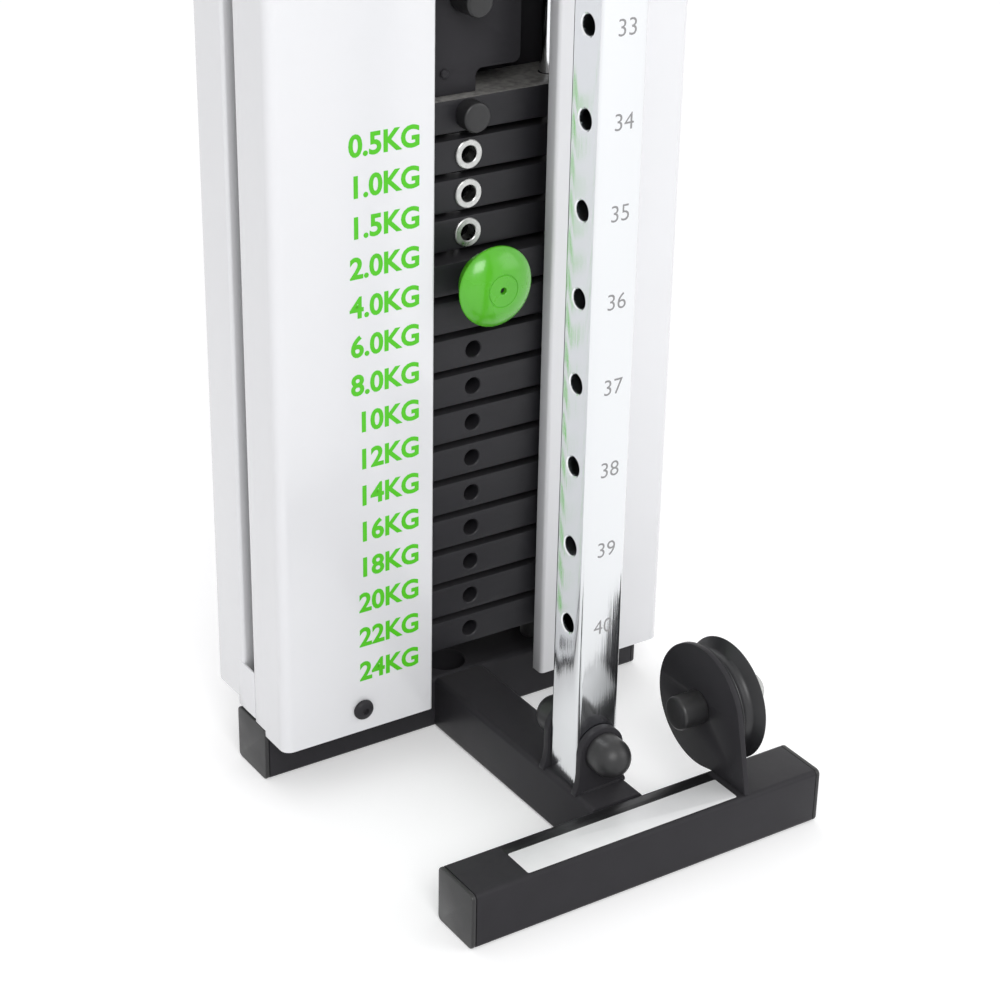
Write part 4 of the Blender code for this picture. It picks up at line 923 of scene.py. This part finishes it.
@dataclass
class Column(Tower):
    """The drilled and numbered column, and what clamps its foot."""

    wall: float = 0.002
    holes: int = 40
    pitch: float = 0.0525
    lowest: float = 0.1495
    hole: float = 0.006
    dome: float = 0.0128
    dome_base: float = 0.009

    def build(self) -> None:
        """Make the column, its numbers, and its foot."""
        self.tube_with_holes()
        style = Figures(0.0102, -0.00007, "CENTER", 0.00006)
        marks = [style.set(str(self.holes - i), (0.0007, self.column_y - self.column_half,
                                                 self.lowest + i * self.pitch))
                 for i in range(self.holes)]
        dress(gather("column_numbers", marks), Coat.PRINT_GREY, "frame")
        self.foot()

    def tube_with_holes(self) -> None:
        """Make the square tube, and drill the row of holes with a broken edge."""
        half = self.column_half
        low, high = self.tube + 2 * self.gap, self.top_z - self.gap
        outer = self.post("column_skin", half, low, high, 0.0002, 0.003)
        carve(outer, self.post("core", half - self.wall, low - 0.01, high + 0.01, 0.0001, 0.001))
        profile = [(self.hole + 0.0011, -0.0005), (self.hole + 0.0009, 0.0), (self.hole, 0.0006),
                   (self.hole, 0.004)]
        drill = turned("drill", profile, aim((-half, self.column_y, self.lowest), RIGHT), 40)
        dress(drill_row(outer, drill, self.holes, self.pitch), Coat.CHROME, "frame")

    def foot(self) -> None:
        """Make the bolt through the foot and the two dome caps."""
        reach = self.column_half + self.gap + self.ear_sheet + self.gap
        place = aim((0, self.column_y - reach, self.foot_z), BACK)
        dress(M10.build("foot_bolt_skin", place, 2 * reach), Coat.ZINC, "frame", "column_foot_bolt")
        r, base = self.dome, self.dome_base
        profile = [(r - 0.0023, 0.0), (r - 0.0007, 0.0), (r, 0.0006), (r, base)]
        profile += arc(0, base, r, 8, 88, 10)
        for name, way in (("front", -1), ("rear", 1)):
            stand = aim((0, self.column_y + way * reach, self.foot_z), (0, way, 0))
            dress(turned(f"foot_dome_{name}_skin", profile, stand, 56), Coat.PLASTIC, "frame")


@dataclass
class BasePulley(Tower):
    """The pulley on the front bar, beside its plate."""

    axle: Point = (-0.0951, 0.0765)
    plate_x: float = 0.0705
    plate: float = 0.004
    radius: float = 0.0412
    spacer: float = 0.0165
    wheel: Wheel = Wheel(0.0400, 0.032, 0.018, M10.hole)

    def build(self) -> None:
        """Make the plate, the wheel, its bolt and its cap."""
        rear = (self.front_y + self.tube - 0.0035, self.tube + self.gap)
        front = (self.front_y + 0.0015, self.tube + self.gap)
        outline = [front, rear, *nose(rear, front, self.axle, self.radius, 72)]
        dress(flat("base_pulley_plate_skin", Axis.X, self.plate_x, self.plate, outline,
                   (ring(*self.axle, M10.hole),), 0.0005), Coat.BLACK, "frame")
        self.wheel.build("base_pulley_skin", aim((self.wheel_x, *self.axle), RIGHT), "base_wheel")
        start = self.plate_x - self.gap
        grip = self.gap + self.plate + self.beside_wheel + self.wheel.width + self.beside_wheel
        profile = [(0.0070, 0.0), (0.0075, 0.0005), (0.0075, self.spacer - 0.0005),
                   (0.0070, self.spacer)]
        spacer = turned("pulley_spacer", profile, aim((start + grip, *self.axle), RIGHT), 40)
        bolt = M10.build("pulley_bolt", aim((start, *self.axle), RIGHT), grip + self.spacer)
        dress(gather("base_pulley_bolt_skin", [bolt, spacer]), Coat.ZINC, "frame")
        dress(cap("base_pulley_cap_skin", 0.011, 0.018, 0.0022, aim((start, *self.axle), LEFT)),
              Coat.PLASTIC, "frame")


@dataclass
class Covers(Tower):
    """The folded white covers and the printed weights."""

    half: float = 0.147
    deep: float = 0.0397
    radius: float = 0.0065
    return_radius: float = 0.0025
    edges: Point = (-0.0367, 0.0489)
    low: float = 0.034
    rear_low: float = 0.046
    proud: float = 0.00015
    fold: float = 0.010
    figures_x: float = -0.0475
    weights: tuple[str, ...] = ("24", "22", "20", "18", "16", "14", "12", "10", "8.0", "6.0", "4.0",
                                "2.0", "1.5", "1.0", "0.5")

    def build(self) -> None:
        """Make the three covers and the figures on the left one."""
        top = self.top_z - 0.0006
        for (hand, side), edge in zip(HANDS, self.edges):
            wall = side * self.half
            path = bend([(edge, self.cover_y + self.fold), (edge, self.cover_y), (wall, self.cover_y),
                         (wall, self.cover_y + self.deep)], [self.return_radius, self.radius])
            cover = folded(f"front_cover_{hand}_skin", path, self.low, top, self.sheet, side)
            notch = block("notch", (-0.3, self.rear_y - self.gap, -0.1),
                          (0.3, self.rear_y + 0.1, self.tube + self.gap), 0.0001)
            dress(smooth(carve(cover, notch)), Coat.WHITE, "frame")
        self.rear(top)
        style = Figures(0.0135, 0.00055, "RIGHT", 0.00012)
        marks = [style.set(f"{weight}KG", (self.figures_x, self.cover_y - 0.00006,
                                           self.lowest_row + self.row_pitch * row))
                 for row, weight in enumerate(self.weights)]
        dress(gather("weight_figures", marks), Coat.PRINT_GREEN, "frame")

    def rear(self, top: float) -> None:
        """Make the rear cover, with the tabs that close the side gaps below."""
        lip = self.back_y - self.deep
        wall = self.half
        left = [(-wall + self.fold, lip), (-wall, lip), (-wall, self.back_y)]
        path = bend([*left, *((-x, y) for x, y in reversed(left))],
                    [self.return_radius, self.radius, self.radius, self.return_radius])
        pieces = [folded("rear_cover_skin", path, self.rear_low, top, self.sheet, -1)]
        for side in (-1, 1):
            low_x, high_x = sorted((side * (wall - self.sheet), side * (wall + self.proud)))
            pieces.append(block("tab", (low_x, self.cover_y + 0.0400, 0.0404),
                                (high_x, lip + 0.0076, 0.074), 0.00015))
        dress(gather("rear_cover_skin", pieces), Coat.WHITE, "frame")


@dataclass
class Inside(Tower):
    """What stands behind the covers: uprights, back panel, guide rods and buffers."""

    rod: float = 0.006
    buffer: float = 0.0095
    buffer_bore: float = 0.0064

    def build(self) -> None:
        """Dress the hidden CAD pieces, and make the rods and the buffers."""
        for name in ("upright_left", "upright_right", "back_panel"):
            Coat.BLACK.cover(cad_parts[name])
        bottom = self.tube + self.gap
        low = bottom + self.gap
        high = self.lowest_row - self.row_thick / 2 - 2 * self.gap
        for hand, side in HANDS:
            stand = Matrix.Translation((side * self.rod_x, self.stack_y, 0))
            profile = [(self.rod - 0.0006, bottom), (self.rod, bottom + 0.0006),
                       (self.rod, self.top_z - self.gap)]
            dress(turned(f"guide_rod_{hand}_skin", profile, stand, 40), Coat.CHROME, "frame")
            bore, wide = self.buffer_bore, self.buffer
            profile = [(bore, low), (wide - 0.0007, low), (wide, low + 0.0008), (wide, high - 0.0015),
                       (wide - 0.0012, high - 0.0003), (bore, high - 0.0003)]
            dress(turned(f"stack_buffer_{hand}_skin", profile, stand, 40, closed=True), Coat.RUBBER,
                  "frame")


@dataclass
class WeightStack(Tower):
    """The drilled plates, the head plate and the stem."""

    half: float = 0.100
    depth: float = 0.062
    light_depth: float = 0.044
    bore: float = 0.0055
    rod_hole: float = 0.007
    stem: float = 0.010
    stem_hole: float = 0.0115
    pad: float = 0.008
    pad_x: float = 0.040
    resting: tuple[str, ...] = ("24", "22", "20", "18", "16", "14", "12", "10", "08", "06")
    light: tuple[str, ...] = ("2_0", "1_5", "1_0")
    rows: int = 15

    def build(self) -> None:
        """Make the plates from the bottom up, then the stem."""
        heavy = self.plate("heavy", self.depth, False, True)
        for row, label in enumerate((*self.resting, "04")):
            self.place(heavy, f"weight_plate_{label}kg", row, Coat.PLATE,
                       "frame" if label in self.resting else "stack")
        light = self.plate("light", self.light_depth, True, True)
        for row, label in enumerate(self.light, len(self.resting) + 1):
            self.place(light, f"weight_plate_{label}kg", row, Coat.PLATE, "stack")
            self.bush(f"pin_bush_{label}", row)
        head = self.plate("head", self.light_depth, False, False)
        # Its finish paints a pale highlight on the head plate's top.
        self.place(head, "head_plate", self.rows - 1, Coat.PAINTED_SHEEN_PLATE, "stack")
        for spare in (heavy, light, head):
            bpy.data.objects.remove(spare, do_unlink=True)
        self.drilled_stem()

    def plate(self, name: str, depth: float, bushed: bool, padded: bool) -> Piece:
        """Return one plate about height 0, drilled and with its pads.

        Args:
            name: The piece's name.
            depth: How deep the plate is, front to back.
            bushed: Whether its pin hole is bored out for a bush.
            padded: Whether it carries pads.

        Returns:
            The piece.
        """
        front, top = self.stack_y - depth / 2, self.row_thick / 2
        plate = block(name, (-self.half, front, -top), (self.half, self.stack_y + depth / 2, top),
                      0.0007, 0.0015)
        hole = self.bore + 0.0015 if bushed else self.bore
        profile = [(hole + 0.0008, -0.001), (hole + 0.0006, 0.0), (hole, 0.0006), (hole, depth * 0.6)]
        carve(plate, turned("pin_drill", profile, aim((0, front, 0), BACK), 40))
        holes = ((-self.rod_x, self.rod_hole), (self.rod_x, self.rod_hole), (0.0, self.stem_hole))
        for x, radius in holes:
            stand = Matrix.Translation((x, self.stack_y, 0))
            carve(plate, rod("rod_drill", radius, -0.02, 0.02, stand))
        smooth(plate, 25)
        if not padded:
            return plate
        high = self.row_pitch - self.row_thick - self.gap
        profile = [(self.pad, -0.0002), (self.pad, high - 0.0006), (self.pad - 0.0006, high)]
        stands = [Matrix.Translation((x, self.stack_y, top)) for x in (-self.pad_x, self.pad_x)]
        return gather(name, [plate, *(turned("pad", profile, stand, 28) for stand in stands)])

    def place(self, master: Piece, node: str, row: int, coat: Coat, body: str) -> None:
        """Copy a plate to its row and dress it.

        Args:
            master: The plate about height 0.
            node: The CAD node that it stands for.
            row: Its row, counted from the bottom.
            coat: Its finish.
            body: The body that it rides on.
        """
        piece = copied(master, node + "_skin", self.lowest_row + row * self.row_pitch)
        dress(piece, coat, body)

    def bush(self, name: str, row: int) -> None:
        """Make a zinc bush in a light plate's pin hole."""
        face = self.stack_y - self.light_depth / 2
        stand = aim((0, face, self.lowest_row + row * self.row_pitch), FRONT)
        profile = [(0.0054, -0.008), (0.0054, 0.0012), (0.0058, 0.0016), (0.0088, 0.0016),
                   (0.0093, 0.0011), (0.0093, 0.0), (0.0069, 0.0), (0.0069, -0.008)]
        dress(turned(name, profile, stand, 48, closed=True), Coat.ZINC, "stack")

    def drilled_stem(self) -> None:
        """Make the stem with a cross hole at each row but its own."""
        bottom = self.lowest_row - self.row_thick / 2
        top = self.lowest_row + (self.rows - 1) * self.row_pitch + self.row_thick / 2
        profile = [(self.stem - 0.0012, bottom), (self.stem, bottom + 0.0015), (self.stem, top)]
        stem = turned("selector_stem_skin", profile, Matrix.Translation((0, self.stack_y, 0)), 40)
        drill = rod("cross", self.bore, -0.02, 0.02, aim((0, self.stack_y, self.lowest_row), BACK), 28)
        dress(drill_row(stem, drill, self.rows - 1, self.row_pitch), Coat.STEEL, "stack")


@dataclass
class Lift(Tower):
    """The lifting pulley in its bracket on the head plate."""

    radius: float = 0.042
    plate: float = 0.004
    left: float = -0.020
    right: float = 0.010
    neck: float = 0.0138
    fillet: float = 0.005
    head_top: float = 0.43775
    axle: float = 0.49725
    seat: float = 0.004
    stud: Point = (-0.0125, 0.4517)
    plug_z: float = 0.4275
    wheel: Wheel = Wheel(0.0400, 0.032, 0.018, M8.hole)

    def build(self) -> None:
        """Make the bracket, the wheel, its bolt and the caps."""
        inner = self.wheel.width / 2 + self.beside_wheel
        face = self.stack_y - inner - self.plate
        outline, hole = self.shield(), ring(0, self.axle, M8.hole)
        seat = self.head_top + 0.0006
        pieces = [
            flat("lift_front", Axis.Y, face, self.plate, outline, (hole,)),
            flat("lift_rear", Axis.Y, self.stack_y + inner, self.plate, outline, (hole,)),
            block("lift_seat", (self.left + 0.0003, self.stack_y - inner - 0.002, seat),
                  (self.right - 0.0003, self.stack_y + inner + 0.002, seat + self.seat), 0.0003),
            turned("lift_stud", [(0.0028, 0.0), (0.0028, 0.0014), (0.0022, 0.0020)],
                   aim((self.stud[0], face + 0.0002, self.stud[1]), FRONT), 28)]
        dress(gather("lift_bracket_skin", pieces), Coat.BLACK, "stack")
        self.wheel.build("lift_pulley_skin", aim((0, self.stack_y, self.axle), BACK), "lift_wheel")
        place = (0, face - self.gap, self.axle)
        grip = 2 * (inner + self.plate + self.gap)
        dress(M8.build("lift_bolt_skin", aim(place, BACK), grip), Coat.ZINC, "stack")
        dress(cap("lift_bolt_cap_skin", 0.00925, 0.020, 0.0020, aim(place, FRONT)), Coat.PLASTIC,
              "stack")
        stand = aim((0, self.stack_y - 0.022, self.plug_z), FRONT)
        dress(cap("head_plate_plug", 0.0095, 0.011, 0.0018, stand), Coat.PLASTIC, "stack")

    def shield(self) -> list[Point]:
        """Return the outline of a lifting plate: a round-topped shield on a narrow neck."""
        foot = self.head_top + self.gap
        shoulder = foot + self.neck
        r, f = self.radius, self.fillet
        outline = [(self.left, foot), (self.right, foot)]
        outline += arc(self.right + f, shoulder - f, f, 180, 92, 6)
        outline += arc(r - f, shoulder + f, f, 270, 360, 8)
        outline += arc(0, self.axle, r, 0, 180, 56)
        outline += arc(f - r, shoulder + f, f, 180, 268, 8)
        return outline + arc(self.left - f, shoulder - f, f, 90, 0, 6)


@dataclass
class Selector(Tower):
    """The selector pin and its mushroom knob."""

    row_z: float = 0.3275

    def build(self) -> None:
        """Make the pin and the knob, with painted shade in the knob's centre hole."""
        pin = turned("selector_pin_skin", [(0.0042, 0.0), (0.005, 0.0012), (0.005, 0.0596)],
                     aim((0, self.stack_y + 0.0103, self.row_z), FRONT), 36)
        dress(pin, Coat.STEEL, "selector")
        stand = aim((0, self.stack_y - 0.032, self.row_z), FRONT)
        profile = [(0.0053, 0.0), (0.0096, 0.0), (0.0100, 0.0004), (0.0100, 0.0030), (0.0130, 0.0052),
                   (0.0165, 0.0075), (0.0185, 0.0100), (0.0188, 0.0125), (0.0205, 0.0165),
                   (0.0245, 0.0205), (0.0256, 0.0216), (0.0259, 0.0227), (0.0258, 0.0234),
                   (0.0252, 0.0243), (0.0225, 0.0270), (0.0185, 0.0295), (0.0130, 0.0314),
                   (0.0107, 0.0318), (0.0104, 0.0314), (0.0100, 0.0314), (0.0097, 0.0319),
                   (0.0060, 0.0323), (0.0026, 0.0323), (0.0022, 0.0320), (0.0021, 0.0295)]
        dress(turned("selector_knob_skin", profile, stand, 72), Coat.GREEN, "selector")
        # A near-black disc at the bottom of the knob's centre hole paints its shade.
        hole = [(0.0019, 0.0296), (0.0018, 0.0298), (0.0002, 0.0298)]
        dress(turned("knob_hole_painted_shade", hole, stand, 24), Coat.SHADOW, "selector")


@dataclass
class Carriage(Tower):
    """The sliding carriage with its lock pin, and the swivelling pulley on it."""

    half: float = 0.022
    wall: float = 0.003
    below: float = 0.035
    above: float = 0.065
    lug: float = 0.012
    lug_sheet: float = 0.006
    lower: float = -0.028
    upper: float = 0.046
    barrel: float = 0.024
    reach: float = 0.009
    clear: float = 0.0007
    cheek: float = 0.003
    nose_radius: float = 0.016
    pivot: float = 0.008
    cheek_half: float = 0.009
    end_sheet: float = 0.005
    swing: Point = (0.024, 0.012)
    wheel: Wheel = Wheel(0.027, 0.022, 0.014, M8.hole)

    def build(self) -> None:
        """Make the sleeve, the lock and the fork."""
        self.sleeve()
        self.lock()
        self.fork()

    def sleeve(self) -> None:
        """Make the square sleeve with its barrel and its arm."""
        z = self.carriage_z
        low, high = z - self.below, z + self.above
        body = self.post("carriage_body_skin", self.half, low, high, 0.0004, 0.006)
        start = self.half - 0.002
        near, far = self.swivel_y - self.lug, self.swivel_y + self.lug
        outline = [(start, near), *arc(self.wheel_x, self.swivel_y, self.lug, -90, 90, 28),
                   (start, far)]
        for under in (self.lower, self.upper):
            carve(body, flat("lug", Axis.Z, z + under, self.lug_sheet, outline), "UNION")
        carve(body, block("arm_back", (start, near + 0.0004, z + self.lower + 0.001),
                          (self.half + 0.006, far - 0.0004, z + self.upper + 0.001)), "UNION")
        profile = [(0.011, 0.0), (0.011, self.barrel + 0.0010), (0.0102, self.barrel + 0.002)]
        carve(body, turned("barrel", profile, aim((-start, self.column_y, z), LEFT), 48), "UNION")
        carve(body, self.post("core", self.half - self.wall, low - 0.02, high + 0.02, 0.0001, 0.003))
        carve(body, rod("bore", 0.006, 0.0, 0.08, aim((0, self.column_y, z), LEFT)))
        carve(body, rod("pivot", self.pivot + self.gap, -0.06, 0.09,
                        Matrix.Translation((self.wheel_x, self.swivel_y, z)), 40))
        dress(smooth(body, 25), Coat.BLACK, "carriage")
        Coat.NYLON.cover(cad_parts["carriage_liner"])

    def lock(self) -> None:
        """Make the lock pin and its knob, parked out."""
        tip = -self.column_half - self.gap - self.clear
        knob_x = -self.half - self.barrel - 0.002 - self.clear - self.reach
        length = tip - (knob_x - 0.0108)
        pin = turned("lock_pin_skin", [(0.0044, 0.0), (0.0053, 0.0014), (0.0053, length)],
                     aim((tip, self.column_y, self.carriage_z), LEFT), 36)
        dress(pin, Coat.STEEL, "lock")
        profile = [(0.0056, 0.0), (0.0087, 0.0), (0.0094, 0.0010), (0.0112, 0.0040), (0.0136, 0.0068),
                   (0.0140, 0.0082), (0.0140, 0.0125), (0.0134, 0.0146), (0.0114, 0.0168),
                   (0.0098, 0.0178), (0.0060, 0.0180)]
        stand = aim((knob_x, self.column_y, self.carriage_z), LEFT)
        dress(turned("lock_pin_knob_skin", profile, stand, 56), Coat.PLASTIC, "lock")

    def fork(self) -> None:
        """Make the fork, its wheel and its bolt."""
        low = self.carriage_z + self.lower + self.lug_sheet + 2 * self.gap
        high = self.carriage_z + self.upper - 2 * self.gap
        axle = (self.swivel_y - self.swing[0], self.carriage_z + self.swing[1])
        inner = self.wheel.width / 2 + self.beside_wheel
        rear, front = self.swivel_y + self.cheek_half, self.swivel_y - self.cheek_half
        outline = [(front, low), (rear, low), (rear, high), (front, high)]
        outline += nose((front, high), (front, low), axle, self.nose_radius, 28)
        half = inner + self.cheek / 2
        holes = (ring(*axle, M8.hole),)
        pieces = [flat("cheek", Axis.X, self.wheel_x + side, self.cheek, outline, holes)
                  for side in (-inner - self.cheek, inner)]
        pieces += [block("fork_end", (self.wheel_x - half, front + 0.0003, start),
                         (self.wheel_x + half, rear - 0.0003, start + self.end_sheet), 0.0004)
                   for start in (low + self.gap, high - self.end_sheet - self.gap)]
        reach = self.lug_sheet + 3 * self.gap
        profile = [(0.0035, 0.0), (self.pivot, 0.0), (self.pivot, reach - 0.0008),
                   (self.pivot - 0.0008, reach), (0.0035, reach)]
        for start, way in ((low + 2 * self.gap, -1), (high - 2 * self.gap, 1)):
            stand = aim((self.wheel_x, self.swivel_y, start), (0, 0, way))
            pieces.append(turned("pivot", profile, stand, 40, closed=True))
        dress(gather("swivel_fork_skin", pieces), Coat.BLACK, "fork")
        self.wheel.build("fork_pulley_skin", aim((self.wheel_x, *axle), RIGHT), "fork_wheel")
        reach = inner + self.cheek + self.gap
        stand = aim((self.wheel_x - reach, *axle), RIGHT)
        dress(M8.build("fork_bolt_skin", stand, 2 * reach), Coat.ZINC, "fork")


@dataclass
class Top(Tower):
    """The top plate with the pulleys on it, and the wall bar behind it."""

    plate: float = 0.006
    half: float = 0.147
    left: float = -0.045
    right: float = 0.112
    corner: float = 0.012
    front_line_y: float = -0.1291
    tube_side: float = 0.030
    tube_wall: float = 0.002
    lip: float = 0.012
    bracket: float = 0.028
    bracket_sheet: float = 0.004
    axle: float = 0.0354
    boss: float = 0.0052
    cable_hole: float = 0.012
    spigot: float = 0.013
    wall_bolt_x: float = 0.080
    wall_bolt_hole: float = 0.0045
    wheel: Wheel = Wheel(0.0320, 0.026, 0.016, M10.hole)

    def build(self) -> None:
        """Make the plate with all that is welded to it, and the four wheels."""
        legs = (((0.034, self.stack_y), (self.wheel_x, self.swivel_y)),
                ((-0.034, self.stack_y), (self.wheel_x, self.front_line_y)))
        edge = self.front_y + self.corner
        outline = [(-self.half, self.back_y), (-self.half, self.cover_y),
                   (self.left, self.cover_y - 0.0004)]
        outline += arc(self.left + self.corner, edge, self.corner, 180, 270, 12)
        outline += arc(self.right - self.corner, edge, self.corner, 270, 360, 12)
        outline += [(self.right, self.cover_y), (self.half, self.cover_y + 0.0004),
                    (self.half, self.back_y)]
        holes = tuple(ring(x, y, self.cable_hole) for leg in legs for x, y in leg)
        pieces = [flat("top", Axis.Z, self.top_z, self.plate, outline, holes, 0.0006)]
        for number, leg in enumerate(legs, 1):
            pieces += self.leg(number, leg)
        pieces += CoverStrips().pieces(self.top_z, -1, False)
        pieces.append(self.post("spigot", self.spigot - self.gap, self.top_z - 0.040,
                                self.top_z + 0.003, 0.0004, 0.001))
        dress(gather("top_plate_skin", pieces), Coat.BLACK, "frame")
        self.wall_bar()

    def wall_bar(self) -> None:
        """Make the tube that is bolted to the wall, with its lip behind the rear cover."""
        side, wall, back = self.tube_side, self.tube_wall, self.wall_y
        seat = self.top_z + self.plate + self.gap
        front, high = back - side, seat + side
        inside = rounded((front + wall, seat + wall), (back - wall, high - wall), 0.001)
        bend_radius = 0.002
        outline = arc(front + bend_radius, seat + bend_radius, bend_radius, 270, 180, 4)
        outline += arc(front + bend_radius, high - bend_radius, bend_radius, 180, 90, 4)
        outline += arc(back - bend_radius, high - bend_radius, bend_radius, 90, 0, 4)
        outline += [(back, self.top_z - self.lip), (self.back_y + self.gap, self.top_z - self.lip),
                    (self.back_y + self.gap, seat)]
        bar = flat("wall_bar_skin", Axis.X, -self.half, 2 * self.half, outline, (inside,), 0.0005)
        for x in (-self.wall_bolt_x, self.wall_bolt_x):
            stand = aim((x, front - 0.01, seat + side / 2), BACK)
            carve(bar, rod("drill", self.wall_bolt_hole, 0.0, 0.06, stand))
        dress(smooth(bar, 25), Coat.BLACK, "frame")

    def leg(self, number: int, leg: tuple[Point, Point]) -> list[Piece]:
        """Make the wheels over one cable leg.

        Args:
            number: The leg's number.
            leg: Its ends over the stack and over the column, seen from above.

        Returns:
            The plate and bolts that carry the wheels.
        """
        (x0, y0), (x1, y1) = leg
        span = math.hypot(x1 - x0, y1 - y0)
        stand = Matrix.Translation((x0, y0, self.top_z + self.plate))
        stand = stand @ Matrix.Rotation(math.atan2(y1 - y0, x1 - x0), 4, "Z")
        rear = self.wheel.groove + 0.002
        front = span - rear
        inner = self.wheel.width / 2 + self.beside_wheel + self.boss
        face = -inner - self.bracket_sheet
        outline = [(rear - self.bracket, -0.002), (front + self.bracket, -0.002)]
        outline += arc(front, self.axle, self.bracket, 0, 90, 18)
        outline += arc(rear, self.axle, self.bracket, 90, 180, 18)
        made = [flat("leg_plate", Axis.Y, face, self.bracket_sheet, outline, (), 0.0005, stand)]
        grip = self.gap + self.bracket_sheet + self.boss
        grip += self.beside_wheel + self.wheel.width + self.beside_wheel
        boss = [(0.009, 0.0), (0.009, self.boss - 0.0006), (0.0084, self.boss)]
        for end, s in (("rear", rear), ("front", front)):
            self.wheel.build(f"top_pulley_{end}_{number}_skin", stand @ aim((s, 0, self.axle), BACK),
                             f"top_wheel_{end}_{number}")
            made.append(turned("boss", boss, stand @ aim((s, -inner - 0.0002, self.axle), BACK), 32))
            made.append(M10.build("leg_bolt", stand @ aim((s, face, self.axle), BACK), grip))
        return made


@dataclass
class Studio:
    """The camera, the floor and the light."""

    camera: Place = (-0.74186, -1.09703, 0.85463)
    yaw: float = 0.582578545
    pitch: float = 0.460078841
    roll: float = 0.0193562503
    lens: float = 85.66
    room: float = 0.64
    floor_glow: float = 0.26
    lamps: tuple[tuple[str, Place, float, float], ...] = (
        ("key", (-1.4, -3.4, 3.0), 2.2, 96), ("fill", (2.8, -2.4, 1.8), 2.4, 26),
        ("back", (0.4, 2.6, 3.2), 2.0, 22))

    def build(self) -> None:
        """Set up all that isn't part of the object."""
        self.set_camera()
        self.set_floor()
        self.set_room()
        for name, place, size, power in self.lamps:
            lamp = bpy.data.lights.new(name, "AREA")
            lamp.shape = "SQUARE"
            lamp.size = size
            lamp.energy = power
            way = Vector((0, 0, 0.5)) - Vector(place)
            turn = way.to_track_quat("-Z", "Y").to_matrix().to_4x4()
            show(name, lamp, Matrix.Translation(place) @ turn)
        bpy.context.scene.view_settings.view_transform = "Standard"

    def set_camera(self) -> None:
        """Put the camera where the photograph was taken from."""
        forward = Vector((math.sin(self.yaw) * math.cos(self.pitch),
                          math.cos(self.yaw) * math.cos(self.pitch), -math.sin(self.pitch)))
        right = Vector((math.cos(self.yaw), -math.sin(self.yaw), 0))
        up = right.cross(forward)
        across = math.cos(self.roll) * right + math.sin(self.roll) * up
        above = -math.sin(self.roll) * right + math.cos(self.roll) * up
        turn = Matrix((across, above, -forward)).transposed().to_4x4()
        view = bpy.data.cameras.new("camera")
        view.lens = self.lens
        view.sensor_width = 36
        view.clip_start = 0.05
        view.clip_end = 60
        bpy.context.scene.camera = show("camera", view, Matrix.Translation(self.camera) @ turn)

    def set_floor(self) -> None:
        """Lay a pale floor that looks white to the camera and in mirrors."""
        pick()
        bpy.ops.mesh.primitive_plane_add(size=24, location=(0, 0, -0.0002))
        floor = settle(bpy.context.object, "floor")
        material = bpy.data.materials.new("pale_floor")
        material.use_nodes = True
        graph = Graph(material.node_tree)
        surface = graph.tree.nodes["Principled BSDF"]
        for label, value in (("Base Color", (0.86, 0.86, 0.865, 1)), ("Roughness", 0.9),
                             ("Specular IOR Level", 0.1)):
            graph.set(surface.inputs[label], value)
        glow = graph.add("Emission", Strength=graph.math("MULTIPLY", graph.seen(), self.floor_glow))
        both = graph.add("AddShader")
        graph.set(both.inputs[0], surface.outputs[0])
        graph.set(both.inputs[1], glow.outputs[0])
        graph.set(graph.tree.nodes["Material Output"].inputs["Surface"], both.outputs[0])
        floor.data.materials.append(material)

    def set_room(self) -> None:
        """Stand all in a white room that looks brighter than it lights."""
        world = bpy.data.worlds.new("room")
        bpy.context.scene.world = world
        world.use_nodes = True
        graph = Graph(world.node_tree)
        plain = graph.tree.nodes["Background"]
        graph.set(plain.inputs["Color"], (1, 1, 1, 1))
        graph.set(plain.inputs["Strength"], self.room)
        bright = graph.add("Background", Color=(1, 1, 1, 1), Strength=1.0)
        mix = graph.add("MixShader", Fac=graph.seen())
        graph.set(mix.inputs[1], plain.outputs[0])
        graph.set(mix.inputs[2], bright.outputs[0])
        graph.set(graph.tree.nodes["World Output"].inputs["Surface"], mix.outputs[0])


def main() -> None:
    """Build every sub-assembly, then the studio round it."""
    logging.basicConfig(level=logging.INFO, format="%(message)s")
    for coat in Coat:
        coat.value.build()
    for kind in (BaseFrame, Column, BasePulley, Covers, Inside, WeightStack, Lift, Selector, Carriage,
                 Top):
        kind().build()
    Studio().build()


if __name__ == "__main__":
    main()
